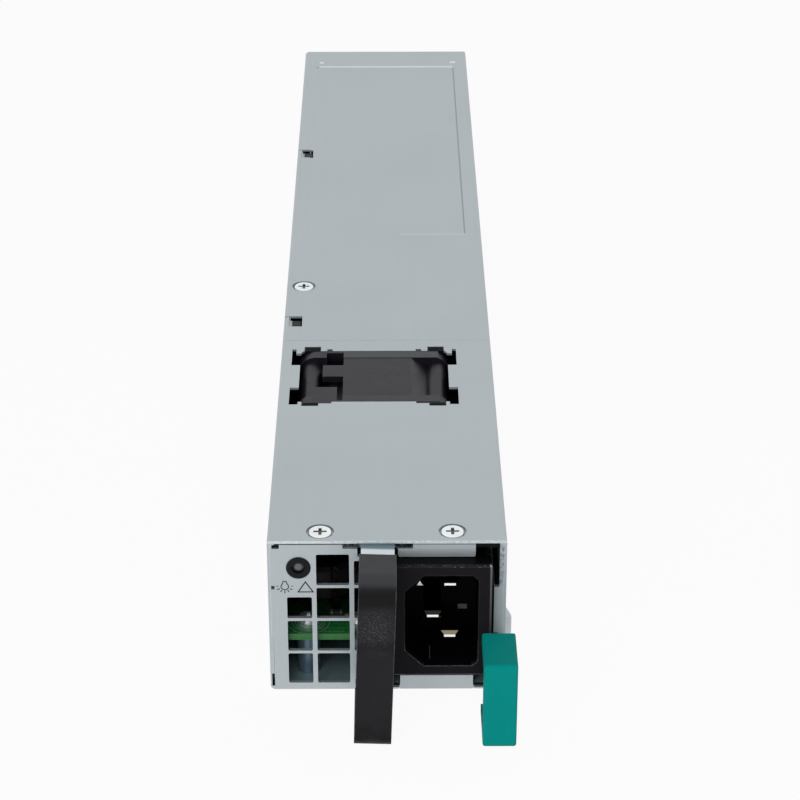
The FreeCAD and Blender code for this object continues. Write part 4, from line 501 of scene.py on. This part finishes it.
def strap_sleeve():
    """Black moulded vinyl with a leathery grain: a painted sheen just below its upper bend, painted light
    on its upward faces, painted shade at the bend and in the crease, darker at the front of its foot.
    """
    vinyl = Finish("strap_sleeve", roughness=0.42, specular=0.17)
    vinyl.colour(tone(22, 20, 23), scale=90.0, amount=0.15)
    low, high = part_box("handle_sleeve")
    # painted sheen: a lighter, speckled oval on the front just below the upper bend
    from_painted_sheen = add_node(vinyl.tree, "ShaderNodeVectorMath", {
        0: vinyl.here, 1: ((low.x + high.x) / 2.0, low.y, 29.5 * MM)}, operation="SUBTRACT")
    oval = add_node(vinyl.tree, "ShaderNodeVectorMath", {
        0: from_painted_sheen.outputs[0], 1: (190.0, 30.0, 150.0)}, operation="MULTIPLY")
    away = add_node(vinyl.tree, "ShaderNodeVectorMath", {0: oval.outputs[0]}, operation="LENGTH")
    painted_sheen = ramp(vinyl.tree, away.outputs["Value"], 1.1, 0.3)
    painted_sheen_specks = arithmetic(vinyl.tree, "MULTIPLY", painted_sheen, vinyl.noise(3600.0, 0.5, 0.68))
    vinyl.over(painted_sheen, tone(38, 38, 43), 0.2)
    vinyl.over(painted_sheen_specks, tone(100, 100, 106), 0.5)
    # painted light on the faces that look up
    vinyl.over(vinyl.looking(UP, 0.8, 0.91), tone(52, 53, 56))
    up = vinyl.axis("Z")
    # painted shade across the upper bend
    bend = within(vinyl.tree, [(up, 33.5 * MM, 35.2 * MM), (up, 38.1 * MM, 37.1 * MM)])
    vinyl.over(bend, tone(3, 3, 4), 0.95)
    # painted shade in the crease
    crease = within(vinyl.tree, [(up, 23.6 * MM, 24.8 * MM), (up, 27.0 * MM, 25.8 * MM)])
    vinyl.over(crease, tone(6, 6, 8), 0.5)
    # darker, broken up, on the front of the lowest part
    foot = within(vinyl.tree, [
        (up, 9.0 * MM, 4.0 * MM), (vinyl.axis("Y"), low.y + 4.0 * MM, low.y + 1.0 * MM)])
    foot_darkening = arithmetic(vinyl.tree, "MULTIPLY", foot, vinyl.noise(420.0, 0.35, 0.6))
    vinyl.over(foot_darkening, tone(4, 4, 5), 0.9)
    # painted highlights along the edges
    vinyl.edge_tinted(0.3 * MM, 0.85, tone(104, 106, 112), breaks=900.0)
    return vinyl.done(2600.0, depth=0.06 * MM, strength=0.5)


def inlet_black():
    """Satin black thermoplastic: painted shade on its upward faces and in the well, painted highlights on
    its lower, right-hand and corner edges, lighter specks along its top front edge.
    """
    moulding = Finish("inlet_black", roughness=0.45, specular=0.04)
    moulding.colour(tone(25, 23, 26), scale=120.0, amount=0.08)
    # painted shade on the faces that look up
    moulding.over(moulding.looking(UP, 0.85, 0.95), tone(7, 9, 12))
    up = moulding.axis("Z")
    # painted highlights along the edges, strongest low down
    painted_edge_highlight = moulding.edges(0.2 * MM, 1.0, breaks=1600.0)
    lower = ramp(moulding.tree, up, 12.0 * MM, 17.0 * MM, 1.0, 0.2)
    moulding.over(painted_edge_highlight, tone(150, 154, 160), lower)
    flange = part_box("inlet_housing")[1].x / MM
    crown = moulding.inside((1.5, -3.9, 35.5), (flange, -3.2, 36.1))
    moulding.over(crown, tone(100, 104, 110), moulding.noise(2300.0, 0.56, 0.74))
    # painted highlight down the right-hand front edge, brightest at the top
    side = moulding.inside((flange - 0.4, -3.9, 17.0), (flange + 0.1, -2.9, 36.1))
    fade = ramp(moulding.tree, up, 18.0 * MM, 36.0 * MM, 0.15, 1.0)
    moulding.over(side, tone(104, 106, 110), fade)
    # painted highlight at the top right corner
    moulding.patches([
        ((flange - 0.5, -3.9, 35.6), (flange, -3.2, 36.1), tone(170, 174, 178), 0.7)])
    # painted shade in the well
    well = ramp(moulding.tree, moulding.axis("Y"), -3.2 * MM, -1.8 * MM)
    moulding.over(well, tone(5, 5, 6))
    return moulding.done(2400.0, depth=0.03 * MM, strength=0.4)


def blade_plate():
    """Nickel-plated brass: bright ends, painted shade on the faces that look up, lighter and browner on
    the lowest blade.
    """
    plate = Finish("blade_plate", roughness=0.2, metallic=1.0)
    plate.colour(tone(248, 246, 242), scale=300.0, amount=0.04)
    # painted shade on the faces that look up, lighter and browner on the lowest blade
    upper_side = plate.looking(UP, 0.15, 0.45)
    plate.over(upper_side, tone(46, 43, 42))
    lowest = ramp(plate.tree, plate.axis("Z"), 17.5 * MM, 16.5 * MM)
    plate.over(product(plate.tree, [upper_side, lowest]), tone(150, 142, 120), 0.8)
    return plate.done(3000.0, depth=0.01 * MM, strength=0.2)


def latch_green():
    """Teal nylon, satin, lighter along its edges and corners."""
    nylon = Finish("latch_green", roughness=0.5, specular=0.05)
    nylon.colour(tone(3, 127, 121), scale=120.0, amount=0.03)
    nylon.edge_tinted(0.3 * MM, 0.6, tone(30, 158, 150))
    return nylon.done(2200.0, depth=0.03 * MM, strength=0.35)


def fan_black(name="fan_black", base=(21, 18, 26)):
    """Glass-filled black moulding with a fine spark texture, with painted shade below its top."""
    moulding = Finish(name, roughness=0.38, specular=0.25)
    moulding.colour(tone(*base), scale=150.0, amount=0.05)
    moulding.edge_tinted(0.2 * MM, 0.35, tone(86, 86, 90))
    moulding.patches([
        # painted shade on the tabs behind and in front of the frame
        ((-30.0, 95.4, 38.0), (30.0, 99.0, 40.3), tone(3, 5, 6), 0.85),
        ((-30.0, 64.0, 38.0), (30.0, 66.9, 40.3), tone(3, 5, 6), 0.6),
        # painted shade in the creases beside the rim and the sill
        ((-11.0, 91.1, 39.9), (6.0, 91.6, 40.3), tone(6, 6, 7), 0.9),
        ((-11.0, 70.8, 39.9), (6.0, 71.1, 40.3), tone(6, 6, 7), 0.5),
    ])
    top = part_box("fan_frame")[1].z
    # painted shade below the top face
    below = ramp(moulding.tree, moulding.axis("Z"), top - 1.2 * MM, top - 3.4 * MM)
    moulding.over(below, tone(8, 8, 9))
    return moulding.done(2600.0, depth=0.03 * MM, strength=0.35)


def plain(name, base, roughness, metallic=0.0, specular=0.3):
    """A moulded, dipped or plated part: one tone, lighter along its edges."""
    part = Finish(name, roughness, metallic, specular)
    part.colour(base, scale=150.0, amount=0.06)
    lighter = tuple(min(1.0, value * 1.6 + 0.02) for value in base[:3]) + (1.0,)
    part.edge_tinted(0.15 * MM, 0.3, lighter)
    return part.done()


def painted_shade_behind_front(finish):
    """Where painted shade covers the boards, behind the front of the filter board, which stays lit."""
    return ramp(finish.tree, finish.axis("Y"), 7.6 * MM, 10.5 * MM, 0.0, 0.88)


def board_print_white():
    """White print on a board, with the same painted shade behind the front."""
    ink = Finish("board_print_white", roughness=0.5, specular=0.2)
    ink.colour(tone(134, 150, 142), scale=300.0, amount=0.1)
    # painted shade behind the front of the board
    ink.over(painted_shade_behind_front(ink), tone(6, 10, 9))
    return ink.done()


def board_green():
    """Solder mask over copper tracks; the bare laminate shows yellow-green at the edges."""
    board = Finish("board_green", roughness=0.3, specular=0.4)
    board.colour(tone(20, 88, 44), scale=120.0, amount=0.08)
    flat = add_node(board.tree, "ShaderNodeVectorMath", {
        0: board.here, 1: (900.0, 420.0, 0.0)}, operation="MULTIPLY")
    tracks = add_node(board.tree, "ShaderNodeTexBrick", {
        "Vector": flat.outputs[0], "Scale": 0.35, "Mortar Size": 0.06, "Mortar Smooth": 0.2,
        "Color1": (0.0, 0.0, 0.0, 1.0), "Color2": (0.3, 0.3, 0.3, 1.0), "Mortar": WHITE})
    board.over(tracks.outputs[0], tone(44, 128, 66), 0.5)
    sides = arithmetic(board.tree, "SUBTRACT", 1.0, board.looking(UP, 0.3, 0.6))
    board.over(sides, tone(40, 98, 48))
    # painted highlights along the edges
    board.edge_tinted(0.2 * MM, 0.6, tone(128, 150, 92), breaks=900.0)
    # painted shade behind the front of the board
    board.over(painted_shade_behind_front(board), tone(3, 6, 6))
    return board.done(1500.0)


def wound_wire(name, base):
    """Enamelled wire wound close: fine ribs across the winding."""
    wire = Finish(name, roughness=0.3, metallic=0.6, specular=0.4)
    wire.colour(base, scale=200.0, amount=0.1)
    ribs = add_node(wire.tree, "ShaderNodeTexWave", {
        "Vector": wire.here, "Scale": 320.0, "Distortion": 1.5, "Detail": 1.0},
        wave_type="BANDS", bands_direction="DIAGONAL")
    return wire.done(depth=0.2 * MM, strength=0.7, height=ribs.outputs["Fac"])


def can_sleeve():
    """Electrolytic capacitor: a dark shrink sleeve, bare aluminium on the round top."""
    can = Finish("can_sleeve", roughness=0.3, specular=0.4)
    can.colour(tone(26, 28, 40), scale=100.0, amount=0.05)
    can.over(can.looking(UP, 0.6, 0.9), tone(178, 180, 184))
    return can.done(1200.0, depth=0.01 * MM, strength=0.2)


# One finish for each material slot of the record.
FINISHES = {
    "galvanised_steel": galvanised_steel(),
    "screw_steel": screw_steel(),
    "spring_steel": spring_steel(),
    "strap_sleeve": strap_sleeve(),
    "inlet_black": inlet_black(),
    "blade_plate": blade_plate(),
    "latch_green": latch_green(),
    "fan_black": fan_black(),
    "board_green": board_green(),
    "can_sleeve": can_sleeve(),
    "copper": wound_wire("copper", tone(150, 84, 44)),
    "lamp_black": plain("lamp_black", tone(13, 14, 16), 0.35, specular=0.15),
    "lens_clear": plain("lens_clear", tone(74, 76, 76), 0.08, specular=0.8),
    "rotor_black": plain("rotor_black", tone(26, 26, 28), 0.4),
    "ferrite": plain("ferrite", tone(52, 52, 55), 0.5),
    "contact_gold": plain("contact_gold", tone(214, 172, 92), 0.22, metallic=1.0),
    "nylon_white": plain("nylon_white", tone(206, 208, 204), 0.45),
    "film_yellow": plain("film_yellow", tone(206, 160, 40), 0.4),
    "disc_blue": plain("disc_blue", tone(36, 88, 160), 0.35),
    "fuse_ceramic": plain("fuse_ceramic", tone(218, 214, 202), 0.3),
    "case_black": plain("case_black", tone(30, 30, 32), 0.5),
    "sink_aluminium": plain("sink_aluminium", tone(186, 188, 190), 0.35, metallic=0.9),
    "tape_yellow": plain("tape_yellow", tone(214, 178, 52), 0.3),
    "sheet_film": plain("sheet_film", tone(60, 66, 70), 0.3),
    "wire_insulation": plain("wire_insulation", tone(34, 30, 30), 0.4),
}
# The nodes that look different from the rest of their slot.
OTHER_FINISHES = {
    "handle_band": strap_band(),
    "chassis_tray": tray_steel(),
    "front_cover": front_cover_steel(),
    "rear_cover": rear_cover_steel(),
    "cover_screws": cover_screw(),
    # the line choke: darkened copies of the copper and the ferrite, painted shade inside the case
    "line_choke_winding": wound_wire("winding_in_painted_shade", tone(11, 8, 7)),
    "line_choke_core": plain("core_in_painted_shade", tone(14, 14, 15), 0.5, specular=0.2),
    "filter_board_standoffs": plain("zinc_standoff", tone(84, 102, 116), 0.3, metallic=0.6),
}

for piece in frame["record"]["subparts"]:
    thing = nodes[piece["node"]]
    worn = OTHER_FINISHES.get(piece["node"], FINISHES[piece["material_slot"]])
    for index in range(len(thing.data.materials)):
        thing.data.materials[index] = worn


# ---------------------------------------------------------------- modelled pieces

FACE_ON = (math.radians(90.0), 0.0, 0.0)
INK_FILM = 0.02 * MM
INK_LIFT_MM = 0.01


def select_only(*pieces):
    """Leaves just these selected, the last of them active."""
    bpy.ops.object.select_all(action="DESELECT")
    for piece in pieces:
        piece.select_set(True)
        bpy.context.view_layer.objects.active = piece


def edit_faces(piece, test=lambda face: True):
    """Opens a piece with the faces that pass a test selected, or with all of them."""
    select_only(piece)
    bpy.ops.object.mode_set(mode="EDIT")
    bpy.ops.mesh.select_mode(type="FACE")
    bpy.ops.mesh.select_all(action="DESELECT")
    bpy.ops.object.mode_set(mode="OBJECT")
    for face in piece.data.polygons:
        face.select = test(face)
    bpy.ops.object.mode_set(mode="EDIT")


def close_edit():
    """Goes back to object mode, with the edited piece."""
    bpy.ops.object.mode_set(mode="OBJECT")
    return bpy.context.object


def bake_place():
    """Works the active piece's place, turn and scale into its mesh."""
    bpy.ops.object.transform_apply(location=True, rotation=True, scale=True)


def outline_ring(points, radius, line, place, turn=(0.0, 0.0, 0.0)):
    """A printed line round a circle or a polygon, flat in its own plane."""
    bpy.ops.object.select_all(action="DESELECT")
    bpy.ops.mesh.primitive_circle_add(
        vertices=points, radius=radius, fill_type="NGON", location=place, rotation=turn)
    edit_faces(bpy.context.object)
    bpy.ops.mesh.inset(thickness=line)
    bpy.ops.mesh.delete(type="FACE")
    return close_edit()


def printed_stroke(start, end, line, normal):
    """A short straight printed line between two places on a flat surface."""
    bpy.ops.object.select_all(action="DESELECT")
    bpy.ops.mesh.primitive_plane_add(size=1.0)
    stroke = bpy.context.object
    along = end - start
    stroke.scale = (along.length, line, 1.0)
    stroke.rotation_mode = "QUATERNION"
    stroke.rotation_quaternion = along.to_track_quat("X", "Z" if normal == UP else "Y")
    stroke.location = (start + end) / 2.0
    return stroke


def join_pieces(name, parts):
    """Several shapes made into one mesh that sits at the origin."""
    select_only(*parts)
    bake_place()
    bpy.ops.object.join()
    piece = bpy.context.object
    bpy.ops.object.origin_set(type="ORIGIN_CURSOR")
    piece.name = name
    piece.data.name = name
    return piece


def apply_all(piece):
    """Applies every modifier of a piece, in order."""
    select_only(piece)
    for modifier in list(piece.modifiers):
        bpy.ops.object.modifier_apply(modifier=modifier.name)


def soften(piece, width):
    """Rounds every edge of a piece a little."""
    rounded = piece.modifiers.new("softened", "BEVEL")
    rounded.width = width
    rounded.segments = 2
    apply_all(piece)


def dress(piece, finish, body="case"):
    """Gives a finished piece its material and the body that it rides on."""
    piece.data.materials.clear()
    piece.data.materials.append(finish)
    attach(piece, body)


def print_symbol(name, parts, ink):
    """Joins printed lines into one piece and lays them down as a film with a little height."""
    symbol = join_pieces(name, parts)
    film = symbol.modifiers.new("film", "SOLIDIFY")
    film.thickness = INK_FILM
    film.offset = 0.0
    apply_all(symbol)
    dress(symbol, ink)


def on_face(across, up):
    """A place for ink on the front face, from millimetres across and up."""
    return Vector((across, -INK_LIFT_MM, up)) * MM


def face_step(degrees, reach=1.0):
    """A step in the plane of the face, turned up from the right, in millimetres."""
    return Vector((reach * math.cos(math.radians(degrees)), 0.0,
                   reach * math.sin(math.radians(degrees)))) * MM


def lamp_symbol():
    """A plain hanging lamp with rays, printed on the face below the status lamp."""
    globe, radius, line = on_face(-23.38, 28.29), 0.86, 0.22 * MM
    collar_left, collar_right = Vector((-0.38, 0.0, 1.42)) * MM, Vector((0.38, 0.0, 1.42)) * MM
    neck_left, neck_right = Vector((-0.4, 0.0, 1.0)) * MM, Vector((0.4, 0.0, 1.0)) * MM
    round_below = [face_step(degrees, radius) for degrees in range(140, 401, 20)]
    outline = [collar_left, neck_left, *round_below, neck_right, collar_right, collar_left]
    parts = []
    for first, second in zip(outline, outline[1:]):
        parts.append(printed_stroke(globe + first, globe + second, line, FRONT))
    for degrees, near, far in (
            (-90, 1.08, 1.86), (-56, 1.12, 1.78), (-124, 1.12, 1.78), (-26, 1.3, 1.94),
            (-154, 1.3, 1.94), (4, 1.55, 1.95), (176, 1.55, 1.95)):
        ray = face_step(degrees)
        parts.append(printed_stroke(globe + ray * near, globe + ray * far, line, FRONT))
    print_symbol("lamp_symbol", parts, PRINT_BLACK)


def triangle_symbol():
    """A bare triangle beside it, the second state of the lamp."""
    ring = outline_ring(3, 2.25 * MM, 0.29 * MM, on_face(-18.65, 27.72), FACE_ON)
    ring.scale.y = 0.915
    print_symbol("triangle_symbol", [ring], PRINT_BLACK)


def board_print():
    """White print on the filter board: rings round its front screw, ticks and a part's outline."""
    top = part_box("filter_board")[1].z + INK_LIFT_MM * MM
    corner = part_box("filter_board_screws")[0]
    head_radius = 2.7 * MM
    screw = Vector((corner.x + head_radius, corner.y + head_radius, top))
    parts = [outline_ring(48, radius * MM, 0.12 * MM, screw) for radius in (3.2, 3.9, 5.0)]
    for column in range(5):
        start = Vector((-14.6 + column, 3.5, 0.0)) * MM + Vector((0.0, 0.0, top))
        parts.append(printed_stroke(start, start + Vector((0.5, 0.35, 0.0)) * MM, 0.16 * MM, UP))
    outline = [Vector((x * MM, y * MM, top)) for x, y in (
        (-13.6, 10.6), (-10.2, 10.6), (-10.2, 12.4), (-13.6, 12.4))]
    for first, second in zip(outline, outline[1:] + outline[:1]):
        parts.append(printed_stroke(first, second, 0.15 * MM, UP))
    print_symbol("board_print", parts, BOARD_INK)


def chip_part(name, place, length, width, height, ends, body):
    """A surface-mounted part: a block with plated ends."""
    body_share, end_share = 0.62, 0.19
    bpy.ops.object.select_all(action="DESELECT")
    bpy.ops.mesh.primitive_cube_add(size=1.0, location=Vector(place) + Vector((0.0, 0.0, height / 2.0)))
    chip = bpy.context.object
    chip.scale = (length * body_share, width, height)
    bake_place()
    for side in (-1.0, 1.0):
        edit_faces(chip, lambda face: face.normal.x * side > 0.9)
        bpy.ops.mesh.extrude_region_move(
            TRANSFORM_OT_translate={"value": (side * length * end_share, 0.0, 0.0)})
        close_edit()
    soften(chip, height * 0.12)
    bpy.ops.object.origin_set(type="ORIGIN_CURSOR")
    chip.name = name
    dress(chip, body)
    chip.data.materials.append(ends)
    for face in chip.data.polygons:
        face.material_index = 1 if abs(face.center.x - place[0]) > length * body_share / 2.0 else 0


def raised_strip(name, low, high, finish):
    """A low moulded or folded block between two corners, with a softened crown."""
    low, high = Vector(low) * MM, Vector(high) * MM
    bpy.ops.object.select_all(action="DESELECT")
    bpy.ops.mesh.primitive_cube_add(size=1.0, location=(low + high) / 2.0)
    block = bpy.context.object
    block.scale = high - low
    bake_place()
    edit_faces(block, lambda face: face.normal.z > 0.9)
    thinnest = min(high - low)
    bpy.ops.mesh.inset(thickness=thinnest * 0.2)
    close_edit()
    soften(block, thinnest * 0.15)
    bpy.ops.object.origin_set(type="ORIGIN_CURSOR")
    block.name = name
    dress(block, finish)


def well_tip():
    """A small bright metal triangle on the end wall of the inlet's well: a painted highlight standing in
    for a glint.
    """
    bpy.ops.object.select_all(action="DESELECT")
    bpy.ops.mesh.primitive_circle_add(
        vertices=3, radius=0.9 * MM, fill_type="NGON", rotation=FACE_ON,
        location=Vector((7.65, 12.68, 20.95)) * MM)
    tip = bpy.context.object
    tip.scale = (0.9, 0.95, 1.0)
    bake_place()
    edit_faces(tip)
    bpy.ops.mesh.extrude_region_move(TRANSFORM_OT_translate={"value": (0.0, -0.1 * MM, 0.0)})
    bpy.ops.mesh.select_all(action="SELECT")
    bpy.ops.mesh.normals_make_consistent(inside=False)
    close_edit()
    bpy.ops.object.origin_set(type="ORIGIN_CURSOR")
    tip.name = "well_tip"
    dress(tip, FINISHES["screw_steel"])


PRINT_BLACK = plain("print_black", tone(22, 24, 28), 0.5, specular=0.2)
BOARD_INK = board_print_white()
TINNED = plain("tinned_end", tone(112, 116, 112), 0.3, metallic=0.8)
CERAMIC_TAN = plain("ceramic_tan", tone(92, 80, 64), 0.4)
WELL_GREY = plain("well_grey", tone(74, 74, 76), 0.5, specular=0.2)
# lighter copies of the fan black for the raised rim and sill: painted light
FAN_RIM = fan_black("fan_rim", (54, 59, 62))
FAN_SILL = fan_black("fan_sill", (40, 36, 40))
TAB_BLACK = plain("tab_black", tone(26, 31, 33), 0.6, specular=0.02)

# Each piece's origin goes to the cursor, which stays at the frame's origin.
bpy.context.scene.cursor.location = (0.0, 0.0, 0.0)
lamp_symbol()
triangle_symbol()
board_print()
board_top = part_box("filter_board")[1].z
chip_part("chip_resistor", (-11.95 * MM, 11.5 * MM, board_top),
          length=2.8 * MM, width=1.3 * MM, height=0.7 * MM, ends=TINNED, body=FINISHES["case_black"])
chip_part("chip_capacitor", (-9.3 * MM, 9.9 * MM, board_top),
          length=1.4 * MM, width=0.9 * MM, height=0.8 * MM, ends=TINNED, body=CERAMIC_TAN)

# the raised rim and sill, in the painted-lit copies of the fan black
raised_strip("fan_rim", (-11.1, 91.75, 40.1), (13.4, 95.1, 40.22), FAN_RIM)
raised_strip("fan_sill", (-11.1, 67.4, 40.1), (13.4, 70.7, 40.22), FAN_SILL)
raised_strip("well_mark", (16.6, 12.6, 14.05), (18.76, 12.8, 15.3), WELL_GREY)
raised_strip("well_mark_upper", (16.6, 12.62, 22.1), (19.0, 12.8, 23.2),
             FINISHES["inlet_black"])
raised_strip("well_rib", (9.74, -0.9, 8.8), (9.92, 4.9, 9.02), WELL_GREY)
for name, left, near, far in (
        ("tab_rear_left", -21.05, 95.45, 97.6), ("tab_rear_right", 10.9, 95.45, 97.6),
        ("tab_front_left", -21.05, 65.4, 66.85), ("tab_front_right", 10.9, 65.4, 66.85)):
    raised_strip(name, (left, near, 40.1), (left + 3.8, far, 40.2), TAB_BLACK)
well_tip()
# beads that fill the slits beside the lower lip where only shade shows, carrying the tray's painted slit
# shade
for name, middle in (("lip_bead_left", 2.83), ("lip_bead_right", 20.18)):
    raised_strip(name, (middle - 0.24, 0.06, 0.04), (middle + 0.24, 1.56, 0.98),
                 OTHER_FINISHES["chassis_tray"])
